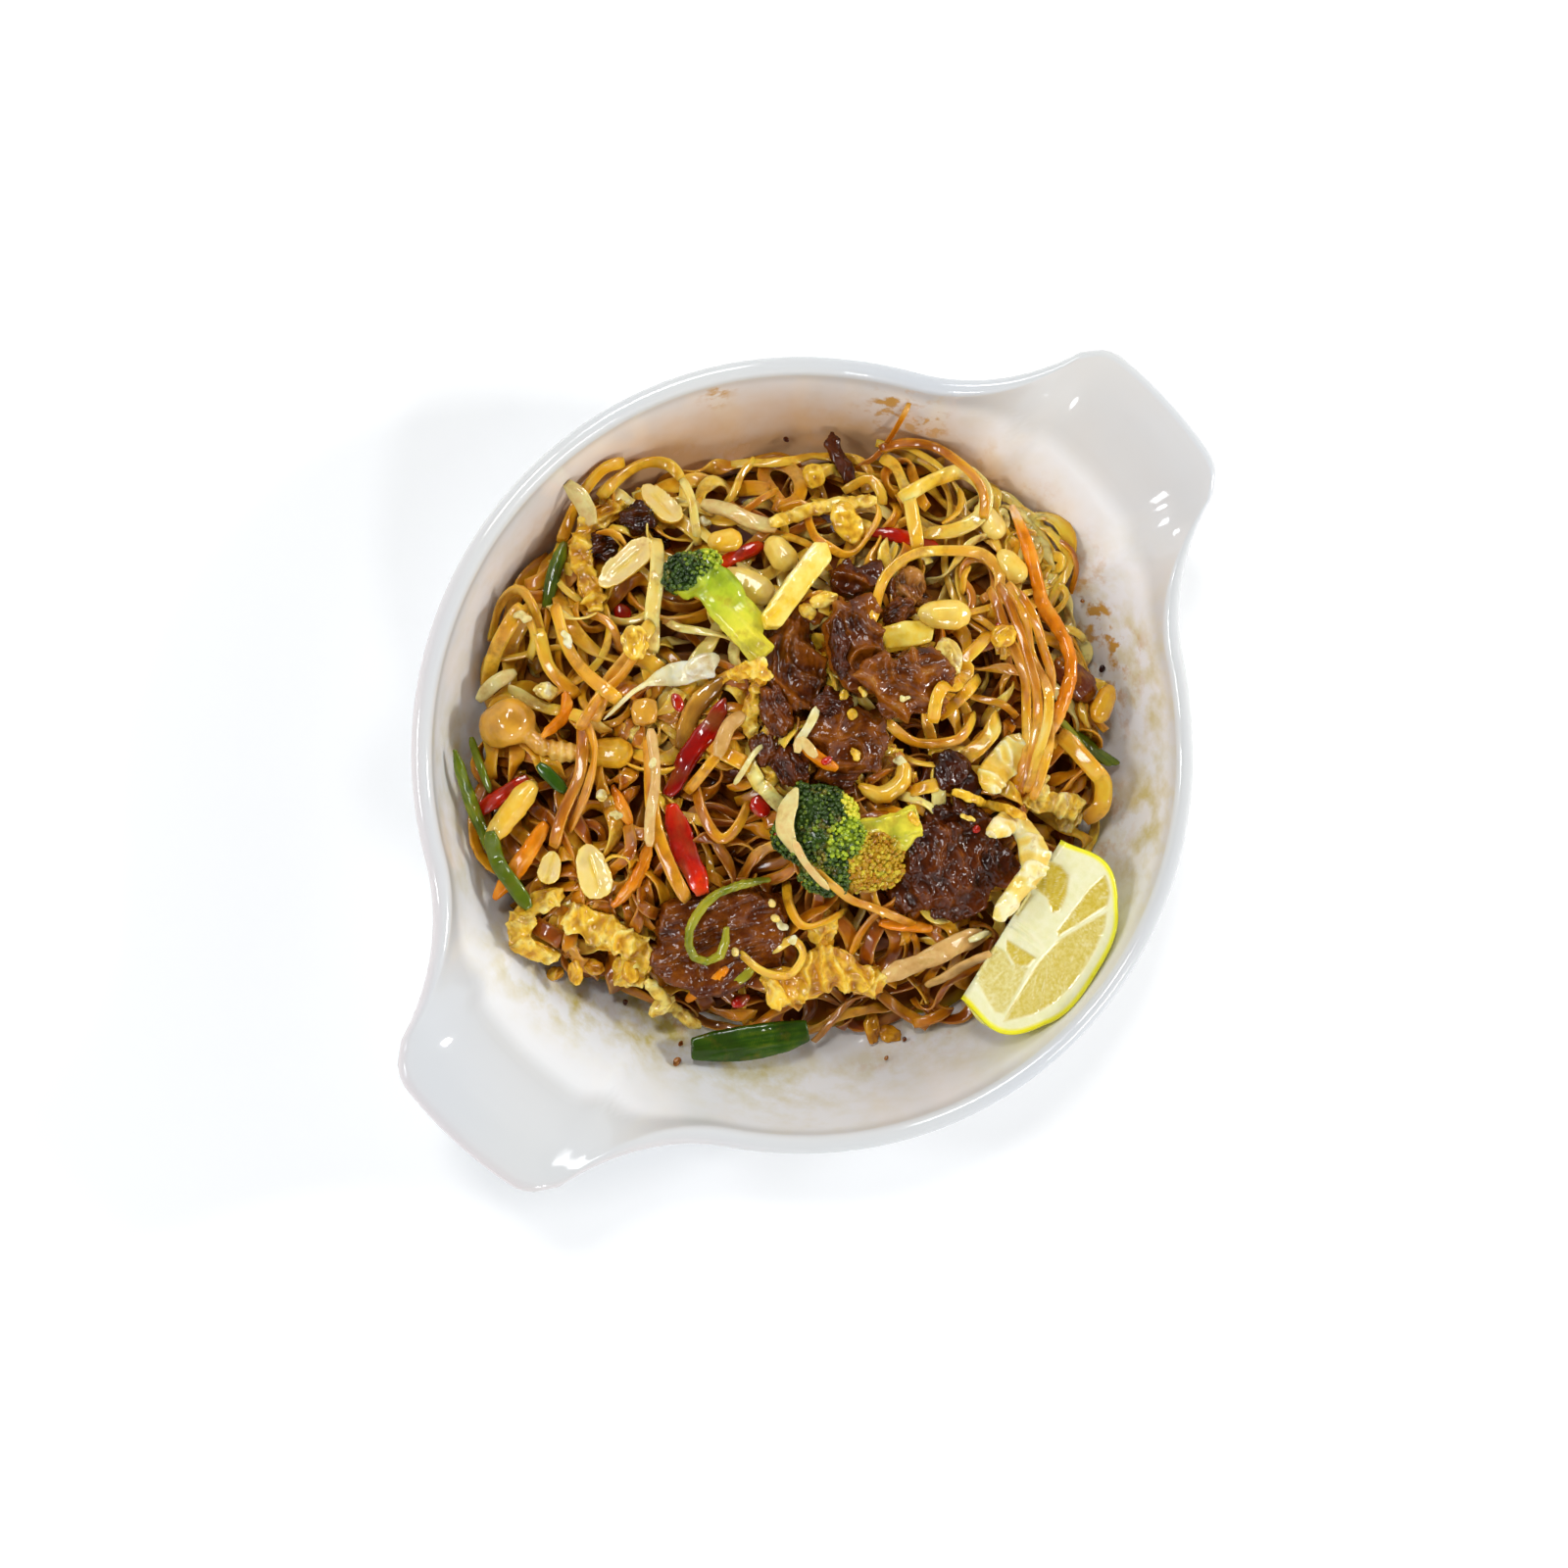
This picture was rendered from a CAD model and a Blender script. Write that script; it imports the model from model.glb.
"""Looks for a dish of pad thai: glazed porcelain, tangled rice noodles and everything on them.

Lengths are in mm while a piece is being shaped, and each finished mesh is in metres.
Places are given on the diner's plan: x to the right, y away from the diner.
"""

import math
import random
from functools import partial

import bmesh
import bpy
import numpy as np
from mathutils import Matrix, Vector, noise
from mathutils.bvhtree import BVHTree


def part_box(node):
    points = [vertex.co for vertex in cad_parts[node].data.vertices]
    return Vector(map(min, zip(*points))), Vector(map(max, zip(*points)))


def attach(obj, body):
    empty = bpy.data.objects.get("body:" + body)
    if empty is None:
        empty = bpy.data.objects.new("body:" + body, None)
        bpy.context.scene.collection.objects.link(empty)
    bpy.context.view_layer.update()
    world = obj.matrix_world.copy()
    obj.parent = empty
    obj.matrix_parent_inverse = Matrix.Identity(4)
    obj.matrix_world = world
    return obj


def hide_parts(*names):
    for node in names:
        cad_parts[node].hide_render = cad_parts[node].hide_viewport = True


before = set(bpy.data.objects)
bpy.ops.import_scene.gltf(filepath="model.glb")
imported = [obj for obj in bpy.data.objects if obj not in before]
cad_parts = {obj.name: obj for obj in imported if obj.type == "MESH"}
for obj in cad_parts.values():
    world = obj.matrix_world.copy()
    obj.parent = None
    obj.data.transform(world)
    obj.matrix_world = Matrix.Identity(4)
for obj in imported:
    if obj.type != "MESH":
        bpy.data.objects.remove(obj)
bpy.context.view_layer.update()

MM, PER_METRE = 0.001, 1000.0
TABLE_TURN = math.radians(45.5)


# ---- small helpers ----------------------------------------------------------
def seat(x, y):
    """A place on the diner's plan, in the dish's own frame."""
    return (x * math.cos(TABLE_TURN) + y * math.sin(TABLE_TURN),
            -x * math.sin(TABLE_TURN) + y * math.cos(TABLE_TURN))


def plan(spot):
    """A place in the dish's frame, on the diner's plan."""
    return (spot[0] * math.cos(TABLE_TURN) - spot[1] * math.sin(TABLE_TURN),
            spot[0] * math.sin(TABLE_TURN) + spot[1] * math.cos(TABLE_TURN))


def turned_by(bearing, middle):
    """Degrees from one bearing to another, from -180 to 180."""
    return (bearing - middle + 180.0) % 360.0 - 180.0


def smoothstep(value, low, high):
    """Eases from 0 at low to 1 at high."""
    part = min(1.0, max(0.0, (value - low) / (high - low)))
    return part * part * (3.0 - 2.0 * part)


def mix(low, high, part):
    """The value at a part of the way from low to high."""
    return low + (high - low) * part


def ridge(spot):
    """Noise with sharp crests, from 0 to 1."""
    return 1.0 - abs(noise.noise(spot)) * 2.0


def bearing_of(x, y):
    """Bearing in degrees on the diner's plan of a place in the dish's frame."""
    return (math.degrees(math.atan2(y, x) + TABLE_TURN)) % 360.0


def settle(bm, name, look, nodes=()):
    """A finished bmesh in mm becomes a piece in metres that rides with the dish.

    It takes the place of the solids named in nodes.
    """
    bmesh.ops.scale(bm, vec=Vector((MM, MM, MM)), verts=bm.verts[:])
    mesh = bpy.data.meshes.new(name)
    bm.to_mesh(mesh)
    bm.free()
    mesh.materials.append(look)
    mesh.shade_smooth()
    piece = bpy.data.objects.new(name, mesh)
    bpy.context.scene.collection.objects.link(piece)
    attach(piece, "root")
    if nodes:
        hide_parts(*nodes)


def layer(bm, name):
    """The number of a name that each corner holds."""
    return bm.verts.layers.float.get(name) or bm.verts.layers.float.new(name)


# ---- materials --------------------------------------------------------------
GLOW_RADII, GLOW_REACH = (1.0, 0.6, 0.3), 0.0018  # how far light spreads inside a food


class Look:
    """A material and the nodes that feed its Principled shader."""

    def __init__(self, name, rough=0.4, coat=0.0, coat_rough=0.08, glow=0.0, shine=0.15):
        self.material = bpy.data.materials.new(name)
        self.material.use_nodes = True
        self.tree = self.material.node_tree
        self.shader = self.tree.nodes["Principled BSDF"]
        self.shader.inputs["Roughness"].default_value = rough
        self.shader.inputs["Specular IOR Level"].default_value = shine
        self.shader.inputs["Coat Weight"].default_value = coat
        self.shader.inputs["Coat Roughness"].default_value = coat_rough
        if glow:
            self.shader.inputs["Subsurface Weight"].default_value = glow
            self.shader.inputs["Subsurface Radius"].default_value = GLOW_RADII
            self.shader.inputs["Subsurface Scale"].default_value = GLOW_REACH
        self.place = self.tree.nodes.new("ShaderNodeTexCoord").outputs["Object"]

    def join(self, target, value):
        """Feed a socket from another socket, a number or a colour."""
        if isinstance(value, bpy.types.NodeSocket):
            self.tree.links.new(value, target)
        elif isinstance(value, tuple) and len(value) == 3:
            target.default_value = (*value, 1.0)
        else:
            target.default_value = value

    def attribute(self, name, output="Fac"):
        """What the modelling left on the piece's corners under a name."""
        node = self.tree.nodes.new("ShaderNodeAttribute")
        node.attribute_name = name
        return node.outputs[output]

    def speckle(self, size, detail=3.0, roughness=0.55):
        """Cloudy noise whose blots are about size mm across."""
        node = self.tree.nodes.new("ShaderNodeTexNoise")
        node.inputs["Scale"].default_value = 1.0 / (size * MM)
        node.inputs["Detail"].default_value = detail
        node.inputs["Roughness"].default_value = roughness
        self.join(node.inputs["Vector"], self.place)
        return node.outputs["Fac"]

    def sum(self, operation, first, second, clamp=False):
        """Two values added, multiplied or the like, if wanted kept from 0 to 1."""
        node = self.tree.nodes.new("ShaderNodeMath")
        node.operation = operation
        node.use_clamp = clamp
        self.join(node.inputs[0], first)
        self.join(node.inputs[1], second)
        return node.outputs[0]

    def spread(self, value, low, high, to_low=0.0, to_high=1.0):
        """A value stretched so that low and high become to_low and to_high."""
        node = self.tree.nodes.new("ShaderNodeMapRange")
        self.join(node.inputs["Value"], value)
        for socket, number in (("From Min", low), ("From Max", high),
                               ("To Min", to_low), ("To Max", to_high)):
            node.inputs[socket].default_value = number
        return node.outputs["Result"]

    def clouds(self, size, low, high, to_low=0.0, to_high=1.0, detail=3.0):
        """Speckle, spread so that low and high become to_low and to_high."""
        return self.spread(self.speckle(size, detail), low, high, to_low, to_high)

    def ramp(self, value, *stops):
        """A colour for each value, between stops of (value, colour)."""
        node = self.tree.nodes.new("ShaderNodeValToRGB")
        self.join(node.inputs["Fac"], value)
        marks = node.color_ramp.elements
        while len(marks) < len(stops):
            marks.new(0.5)
        for mark, (spot, colour) in zip(marks, stops):
            mark.position = spot
            mark.color = (*colour, 1.0)
        return node.outputs["Color"]

    def blend(self, part, first, second):
        """The first colour where part is 0, the second where it is 1."""
        node = self.tree.nodes.new("ShaderNodeMix")
        node.data_type = "RGBA"
        node.blend_type = "MIX"
        self.join(node.inputs[0], part)
        self.join(node.inputs[6], first)
        self.join(node.inputs[7], second)
        return node.outputs[2]

    def group(self, group, **values):
        """A shared effect with its own values."""
        node = self.tree.nodes.new("ShaderNodeGroup")
        node.node_tree = group
        for name, value in values.items():
            self.join(node.inputs[name.replace("_", " ").capitalize()], value)
        return node.outputs

    def bump(self, height, strength, depth):
        """Relief of a height that is depth mm deep."""
        node = self.tree.nodes.new("ShaderNodeBump")
        node.inputs["Strength"].default_value = strength
        node.inputs["Distance"].default_value = depth * MM
        self.join(node.inputs["Height"], height)
        self.join(self.shader.inputs["Normal"], node.outputs["Normal"])

    def finish(self, colour, rough=None):
        """Feeds the colour, and the roughness where it changes, and gives the material."""
        self.join(self.shader.inputs["Base Color"], colour)
        if rough is not None:
            self.join(self.shader.inputs["Roughness"], rough)
        return self.material


def new_group(name, inputs, outputs):
    """An empty shader group with named inputs and outputs."""
    group = bpy.data.node_groups.new(name, "ShaderNodeTree")
    for label, kind, value in inputs:
        socket = group.interface.new_socket(label, in_out="INPUT", socket_type=kind)
        socket.default_value = value
    for label, kind in outputs:
        group.interface.new_socket(label, in_out="OUTPUT", socket_type=kind)
    return group, group.nodes.new("NodeGroupInput"), group.nodes.new("NodeGroupOutput")


def sauce_film():
    """Thin brown sauce in blots over a food's own colour."""
    group, entry, leave = new_group(
        "sauce_film",
        (("Colour", "NodeSocketColor", (1, 1, 1, 1)),
         ("Sauce", "NodeSocketColor", (0.30, 0.12, 0.02, 1)), ("Amount", "NodeSocketFloat", 0.3),
         ("Scale", "NodeSocketFloat", 220.0)),
        (("Colour", "NodeSocketColor"), ("Wet", "NodeSocketFloat")))
    place = group.nodes.new("ShaderNodeTexCoord")
    blots = group.nodes.new("ShaderNodeTexNoise")
    blots.inputs["Detail"].default_value = 4.0
    blots.inputs["Roughness"].default_value = 0.6
    lift = group.nodes.new("ShaderNodeMath")
    lift.operation = "MULTIPLY_ADD"
    lift.inputs[1].default_value = 0.75
    edge = group.nodes.new("ShaderNodeMapRange")
    edge.inputs["From Min"].default_value = 0.56
    edge.inputs["From Max"].default_value = 0.84
    tint = group.nodes.new("ShaderNodeMix")
    tint.data_type = "RGBA"
    tint.blend_type = "MIX"
    link = group.links.new
    link(place.outputs["Object"], blots.inputs["Vector"])
    link(entry.outputs["Scale"], blots.inputs["Scale"])
    link(entry.outputs["Amount"], lift.inputs[0])
    link(blots.outputs["Fac"], lift.inputs[2])
    link(lift.outputs[0], edge.inputs["Value"])
    link(edge.outputs["Result"], tint.inputs[0])
    link(entry.outputs["Colour"], tint.inputs[6])
    link(entry.outputs["Sauce"], tint.inputs[7])
    link(tint.outputs[2], leave.inputs["Colour"])
    link(edge.outputs["Result"], leave.inputs["Wet"])
    return group


def skin_relief():
    """Height of a moist surface: broad lumps with fine grain on them."""
    group, entry, leave = new_group(
        "skin_relief",
        (("Coarse", "NodeSocketFloat", 300.0), ("Fine", "NodeSocketFloat", 1500.0),
         ("Grain", "NodeSocketFloat", 0.35)),
        (("Height", "NodeSocketFloat"),))
    place = group.nodes.new("ShaderNodeTexCoord")
    link = group.links.new
    total = None
    for label in ("Coarse", "Fine"):
        lumps = group.nodes.new("ShaderNodeTexNoise")
        lumps.inputs["Detail"].default_value = 2.0
        link(place.outputs["Object"], lumps.inputs["Vector"])
        link(entry.outputs[label], lumps.inputs["Scale"])
        if total is None:
            total = lumps.outputs["Fac"]
            continue
        add = group.nodes.new("ShaderNodeMath")
        add.operation = "MULTIPLY_ADD"
        link(lumps.outputs["Fac"], add.inputs[0])
        link(entry.outputs["Grain"], add.inputs[1])
        link(total, add.inputs[2])
        total = add.outputs[0]
    link(total, leave.inputs["Height"])
    return group


SAUCE_FILM = sauce_film()
SKIN_RELIEF = skin_relief()
FOOD_COAT = 1.3  # how wet all the food is


def food_look(name, stops, sauce=0.2, sauce_colour=(0.28, 0.10, 0.015), blot=5.0, rough=0.4,
              coat=0.3, glow=0.0, coarse=4.0, fine=0.8, strength=0.35, depth=0.4, mottle=0.14,
              hollow=(0.35, 0.16, 0.03), hollow_part=0.6):
    """A moist food: a colour by tone, darker in its hollows, with sauce over it.

    stops give the colour by tone; blot, coarse, fine and depth are in mm.
    """
    made = Look(name, rough, coat * FOOD_COAT, coat_rough=0.09, glow=glow, shine=0.04)
    shade = made.sum("ADD", made.attribute("tone"), made.clouds(3.0, 0.3, 0.7, -mottle, mottle))
    colour = made.ramp(shade, *stops)
    pit = made.spread(made.attribute("relief"), -1.0, 0.1, hollow_part, 0.0)
    colour = made.blend(pit, colour, hollow)
    film = made.group(SAUCE_FILM, colour=colour, sauce=sauce_colour, amount=sauce,
                      scale=1.0 / (blot * MM))
    height = made.group(SKIN_RELIEF, coarse=1.0 / (coarse * MM), fine=1.0 / (fine * MM))
    made.bump(height["Height"], strength, depth)
    wet = made.spread(film["Wet"], 0.0, 1.0, rough, rough * 0.55)
    return made.finish(film["Colour"], wet)


# ---- the dish ---------------------------------------------------------------
BODY_RADIUS, RIM_TOP, TAB_REACH = 103.0, 45.0, 131.0
TAB_HALF_WIDTH, TAB_CORNER, TAB_END_ARC = 25.6, 10.0, 113.5
NECK_ARC, NECK_ANGLE = 57.4, math.radians(30.4)
TAB_RISE, RISE_FROM, RISE_TO = 10.5, 75.0, 131.0
WALL, FLOOR_TOP, FLOOR_RADIUS, WALL_TURN = 5.0, 7.0, 76.0, 90.0
BODY_LEAN, TAB_LEAN = math.radians(84.0), math.radians(16.0)
BODY_PULL, TAB_PULL = 18.0, 29.0
FOOT_OUTER, FOOT_INNER, UNDERSIDE = 74.0, 69.0, 1.8
OUTER_STEPS, INNER_STEPS, FLOOR_RADII = 16, 39, (70.0, 60.0, 45.0, 25.0, 8.0)
DISH_SHRINK = (0.999, 0.999, 0.9965)  # keeps the glaze just inside the solid
RIB_RADII, RIB_HALF, RIB_HEIGHT = (111.5, 116.5, 121.5), 13.5, 0.32
RIB_SHARP, RIBS_FROM = 0.75, 90.0


def tab_geometry():
    """Circle centres and joining points of one quarter of the outline."""
    end = Vector((TAB_REACH - TAB_END_ARC, 0.0))
    rise = TAB_HALF_WIDTH - TAB_CORNER
    corner = Vector((end.x + math.sqrt((TAB_END_ARC - TAB_CORNER) ** 2 - rise ** 2), rise))
    neck = (BODY_RADIUS + NECK_ARC) * Vector((math.cos(NECK_ANGLE), math.sin(NECK_ANGLE)))
    to_neck = neck - corner
    bearing = math.atan2(to_neck.y, to_neck.x)
    bearing += math.acos((TAB_CORNER + NECK_ARC) / to_neck.length)
    across = Vector((math.cos(bearing), math.sin(bearing)))
    end_join = end + (corner - end).normalized() * TAB_END_ARC
    return end, corner, neck, end_join, corner + TAB_CORNER * across, neck - NECK_ARC * across


TAB_END, TAB_CORNER_CENTRE, NECK_CENTRE, END_JOIN, FLANK_OUT, FLANK_IN = tab_geometry()


def ray_to_circle(theta, centre, radius, far):
    """Reach from the dish's middle to a circle, at its far or its near side."""
    along = centre[0] * math.cos(theta) + centre[1] * math.sin(theta)
    aside = centre[0] * math.sin(theta) - centre[1] * math.cos(theta)
    half = math.sqrt(max(0.0, radius * radius - aside * aside))
    return along + half if far else along - half


def outline(theta):
    """Outer radius of the dish at an angle from the +X tab."""
    bearing = math.atan2(abs(math.sin(theta)), abs(math.cos(theta)))
    if bearing >= NECK_ANGLE:
        return BODY_RADIUS
    if bearing <= math.atan2(END_JOIN.y, END_JOIN.x):
        return ray_to_circle(bearing, TAB_END, TAB_END_ARC, True)
    if bearing <= math.atan2(FLANK_OUT.y, FLANK_OUT.x):
        return ray_to_circle(bearing, TAB_CORNER_CENTRE, TAB_CORNER, True)
    if bearing <= math.atan2(FLANK_IN.y, FLANK_IN.x):
        run = FLANK_IN - FLANK_OUT
        cross = math.cos(bearing) * run.y - math.sin(bearing) * run.x
        return (FLANK_OUT.x * run.y - FLANK_OUT.y * run.x) / cross
    return ray_to_circle(bearing, NECK_CENTRE, NECK_ARC, False)


def wall_frame(theta):
    """Rim centre line (radius, height), the rim's direction, and its curve handle."""
    radius = outline(theta)
    reach = abs(radius * math.cos(theta))
    height = RIM_TOP + TAB_RISE * smoothstep(reach, RISE_FROM, RISE_TO)
    tab = smoothstep(radius, BODY_RADIUS, TAB_REACH - 3.0)
    lean = mix(BODY_LEAN, TAB_LEAN, tab)
    centre = Vector((radius - WALL / 2, height - WALL / 2))
    return centre, Vector((math.cos(lean), math.sin(lean))), mix(BODY_PULL, TAB_PULL, tab)


def wall_curve(theta, part, offset=0.0):
    """Point (radius, height) on the inner surface, from floor edge (0) to rim (1)."""
    centre, rim_way, pull = wall_frame(theta)
    top = centre + WALL / 2 * Vector((-rim_way.y, rim_way.x))
    posts = (Vector((FLOOR_RADIUS, FLOOR_TOP)), Vector((WALL_TURN, FLOOR_TOP)),
             top - pull * rim_way, top)
    back = 1.0 - part
    point = (back ** 3 * posts[0] + 3 * part * back ** 2 * posts[1]
             + 3 * part ** 2 * back * posts[2] + part ** 3 * posts[3])
    way = (back ** 2 * (posts[1] - posts[0]) + 2 * part * back * (posts[2] - posts[1])
           + part ** 2 * (posts[3] - posts[2])).normalized()
    return point + offset * Vector((way.y, -way.x))


def rib_lift(x, y):
    """Three fine raised ribs across each tab, parallel to its end."""
    reach = (Vector((abs(x), y)) - TAB_END).length - TAB_END_ARC + TAB_REACH
    lift = 0.0
    for number, radius in enumerate(RIB_RADII):
        half = RIB_HALF - 2.0 * number
        across = math.exp(-((reach - radius) / RIB_SHARP) ** 2)
        lift += RIB_HEIGHT * across * smoothstep(half - abs(y), 0.0, 2.0)
    return lift if abs(x) > RIBS_FROM else 0.0


def dish_section(theta):
    """The cut face at an angle, from under the floor round the rim to the floor's middle."""
    centre, rim_way, _ = wall_frame(theta)
    section = [Vector((20.0, UNDERSIDE)), Vector((50.0, UNDERSIDE)),
               Vector((FOOT_INNER - 1.6, UNDERSIDE)), Vector((FOOT_INNER - 0.5, 0.5)),
               Vector((FOOT_INNER + 0.6, 0.02)), Vector(((FOOT_INNER + FOOT_OUTER) / 2, 0.0)),
               Vector((FOOT_OUTER - 0.6, 0.02)), Vector((FOOT_OUTER + 0.3, 0.6)),
               Vector((FOOT_OUTER + 1.0, 1.7))]
    section += [wall_curve(theta, (step / (OUTER_STEPS - 1)) ** 0.9, WALL)
                for step in range(OUTER_STEPS)]
    heading = math.atan2(rim_way.y, rim_way.x)
    for turn in range(-75, 76, 15):
        way = heading + math.radians(turn)
        section.append(centre + WALL / 2 * Vector((math.cos(way), math.sin(way))))
    section += [wall_curve(theta, 1.0 - step / (INNER_STEPS - 1)) for step in range(INNER_STEPS)]
    section += [Vector((radius, FLOOR_TOP)) for radius in FLOOR_RADII]
    return section


def stain(spot, mark):
    """How strongly one smear marks a place."""
    bearing, radius, wide, deep, strength = mark
    away = turned_by(bearing_of(spot.x, spot.y), bearing) / wide
    out = (math.hypot(spot.x, spot.y) - radius) / deep
    return strength * math.exp(-(away * away + out * out))


# Sauce on the wall: bearing, radius, half width in degrees, half depth in mm, strength.
BROWN_SMEARS = ((76, 91, 12, 4.0, 0.8), (112, 88, 2.6, 2.2, 1.9), (99, 86, 2.8, 2.2, 1.9),
                (106, 97, 1.8, 1.6, 1.4), (77.5, 96, 2.4, 1.8, 1.9), (70.5, 95.5, 2.6, 2.2, 1.9),
                (39.6, 94, 2.2, 2.0, 1.6), (26, 93.5, 2.8, 1.6, 1.6), (19.5, 95, 2.2, 1.6, 1.5),
                (92, 82, 5.0, 3.0, 0.9), (20, 93.5, 8, 2.0, 0.5), (-14, 92, 7, 2.5, 0.4),
                (-52, 84, 10, 3.0, 0.5), (262, 80, 12, 3.0, 0.45), (246, 80, 9, 2.2, 0.5),
                (282, 88, 5, 2.0, 0.4))
GOLD_SMEARS = ((228, 84, 12, 8.0, 0.45), (242, 86, 9, 7.0, 0.45), (268, 90, 16, 7.0, 0.5),
               (290, 88, 12, 6.0, 0.3), (8, 96.0, 30, 2.2, 0.45), (345, 96, 16, 2.5, 0.35),
               (222, 92, 10, 5.0, 0.2), (176, 93, 10, 3.0, 0.2))
# Where sauce clings beside the food: bearing, half width, brown and gold strength.
CLINGING = ((95, 30, 1.0, 0.2), (60, 22, 0.9, 0.2), (20, 26, 0.85, 0.4), (-14, 16, 0.5, 0.5),
            (-60, 20, 0.45, 0.3), (250, 26, 0.4, 0.9), (222, 20, 0.25, 0.9), (190, 24, 0.2, 0.5),
            (150, 26, 0.35, 0.2))
FILM_BEARING, BLUSH_BEARING = 95.0, 205.0  # middles of the warm film and of the rosy blush


def clinging(bearing, gap):
    """Brown and gold of the sauce that clings within about 10 mm of the food."""
    brown = gold = 0.0
    for middle, half, dark, bright in CLINGING:
        part = smoothstep(half - abs(turned_by(bearing, middle)), 0.0, half * 0.7)
        brown = max(brown, dark * part)
        gold = max(gold, bright * part)
    return brown * smoothstep(-gap, -9.0, 0.0), gold * smoothstep(-gap, -18.0, -1.0)


def porcelain():
    """White glaze with gold and brown sauce on its inside and a rosy blush on its edge."""
    made = Look("white_porcelain", rough=0.10, shine=0.4)
    cool = made.clouds(60.0, 0.3, 0.7, detail=1.0)
    colour = made.blend(cool, (0.61, 0.63, 0.66), (0.65, 0.655, 0.65))
    colour = made.blend(made.attribute("inside"), colour, (0.87, 0.89, 0.915))
    colour = made.blend(made.attribute("blush"), colour, (0.70, 0.52, 0.49))
    drawn = made.clouds(7.0, 0.42, 0.68, detail=5.0)
    gold = made.sum("MULTIPLY", made.attribute("gold"), drawn, True)
    colour = made.blend(gold, colour, (0.62, 0.53, 0.16))
    streak = made.spread(made.speckle(5.0, 6.0, 0.6), 0.50, 0.64)
    brown = made.sum("MULTIPLY", made.attribute("brown"), streak, True)
    colour = made.blend(brown, colour, (0.58, 0.29, 0.03))
    film = made.sum("MULTIPLY", made.attribute("film"), made.clouds(14.0, 0.2, 0.7, 0.6), True)
    colour = made.blend(film, colour, (0.76, 0.48, 0.25))
    made.bump(made.speckle(9.0, 1.0), strength=0.06, depth=0.15)
    return made.finish(colour, made.spread(brown, 0.0, 1.0, 0.09, 0.28))


def stain_dish(corner, layers):
    """Leaves brown and gold sauce and a warm film on a corner of the inner surface."""
    spot = corner.co
    bearing = bearing_of(spot.x, spot.y)
    gap = math.hypot(spot.x, spot.y) - edge_at(math.atan2(spot.y, spot.x))
    brown, gold = clinging(bearing, gap)
    corner[layers["brown"]] = min(2.0, brown + sum(stain(spot, mark) for mark in BROWN_SMEARS))
    corner[layers["gold"]] = min(1.0, gold + sum(stain(spot, mark) for mark in GOLD_SMEARS))
    away = abs(turned_by(bearing, FILM_BEARING))
    climb = smoothstep(44.0 - spot.z, 0.0, 30.0) * smoothstep(spot.z, 5.0, 12.0)
    seep = smoothstep(-gap, -8.0, 1.0) * (0.02 + 0.5 * smoothstep(85.0 - away, 0.0, 60.0))
    warm = 0.12 * smoothstep(abs(turned_by(bearing, BLUSH_BEARING)), 35.0, 85.0)
    corner[layers["film"]] = 0.85 * climb * smoothstep(72.0 - away, 0.0, 50.0) + seep + warm


def build_dish():
    """One ring of corners for each step of the section, closed under and over the floor."""
    quarter = [float(step) for step in range(30)] + [30.4 + step * 1.987 for step in range(31)]
    quarter[-1] = 90.0
    half = quarter + [180.0 - angle for angle in reversed(quarter[:-1])]
    angles = [math.radians(angle) for angle in half[:-1] + [angle + 180.0 for angle in half[:-1]]]
    sections = [dish_section(theta) for theta in angles]
    bm = bmesh.new()
    bmesh.ops.create_circle(bm, cap_ends=True, segments=len(angles), radius=1.0)
    bm.faces.ensure_lookup_table()
    cap = bm.faces[0]
    for step in range(len(sections[0])):
        if step:
            grown = bmesh.ops.extrude_face_region(bm, geom=[cap])["geom"]
            if step > 1:
                bmesh.ops.delete(bm, geom=[cap], context="FACES")
            cap = next(item for item in grown if isinstance(item, bmesh.types.BMFace))
        for corner, theta, section in zip(cap.verts, angles, sections):
            radius, height = section[step]
            corner.co = (radius * math.cos(theta), radius * math.sin(theta), height)
    bmesh.ops.recalc_face_normals(bm, faces=bm.faces[:])
    bm.normal_update()
    layers = {name: layer(bm, name) for name in ("brown", "gold", "film", "blush", "inside")}
    inner_from = len(sections[0]) - INNER_STEPS - len(FLOOR_RADII)
    for index, corner in enumerate(bm.verts):
        spot = corner.co
        step = index // len(angles)
        radius = math.hypot(spot.x, spot.y)
        if step >= inner_from:
            if corner.normal.z > 0.0 or radius < 98.0 and spot.z > FLOOR_TOP - 1.0:
                stain_dish(corner, layers)
            corner[layers["inside"]] = smoothstep(43.5 - spot.z, 0.0, 6.0)
        outer = smoothstep(radius - outline(math.atan2(spot.y, spot.x)), -4.0, 0.0)
        side = abs(turned_by(bearing_of(spot.x, spot.y), BLUSH_BEARING))
        corner[layers["blush"]] = 0.32 * outer * smoothstep(70.0 - side, 0.0, 40.0)
        if step >= inner_from - 4 and corner.normal.z > 0.3:
            corner.co += corner.normal * rib_lift(spot.x, spot.y)
    bmesh.ops.scale(bm, vec=Vector(DISH_SHRINK), verts=bm.verts[:])
    settle(bm, "dish_glazed", porcelain(), ["dish"])


# ---- heights over the dish --------------------------------------------------
CELL, HALF = 0.7, 105.0  # size of a cell of the height maps, and how far they reach
CELLS = int(2 * HALF / CELL) + 1
TOPPINGS = [name for name in sorted(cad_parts) if name not in ("dish", "noodle_heap")]


def tree_of(names):
    """The solids of some nodes, in mm, ready to be met by rays."""
    corners, faces = [], []
    for name in names:
        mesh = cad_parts[name].data
        first = len(corners)
        corners += [corner.co / MM for corner in mesh.vertices]
        faces += [[first + index for index in face.vertices] for face in mesh.polygons]
    return BVHTree.FromPolygons(corners, faces)


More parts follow.
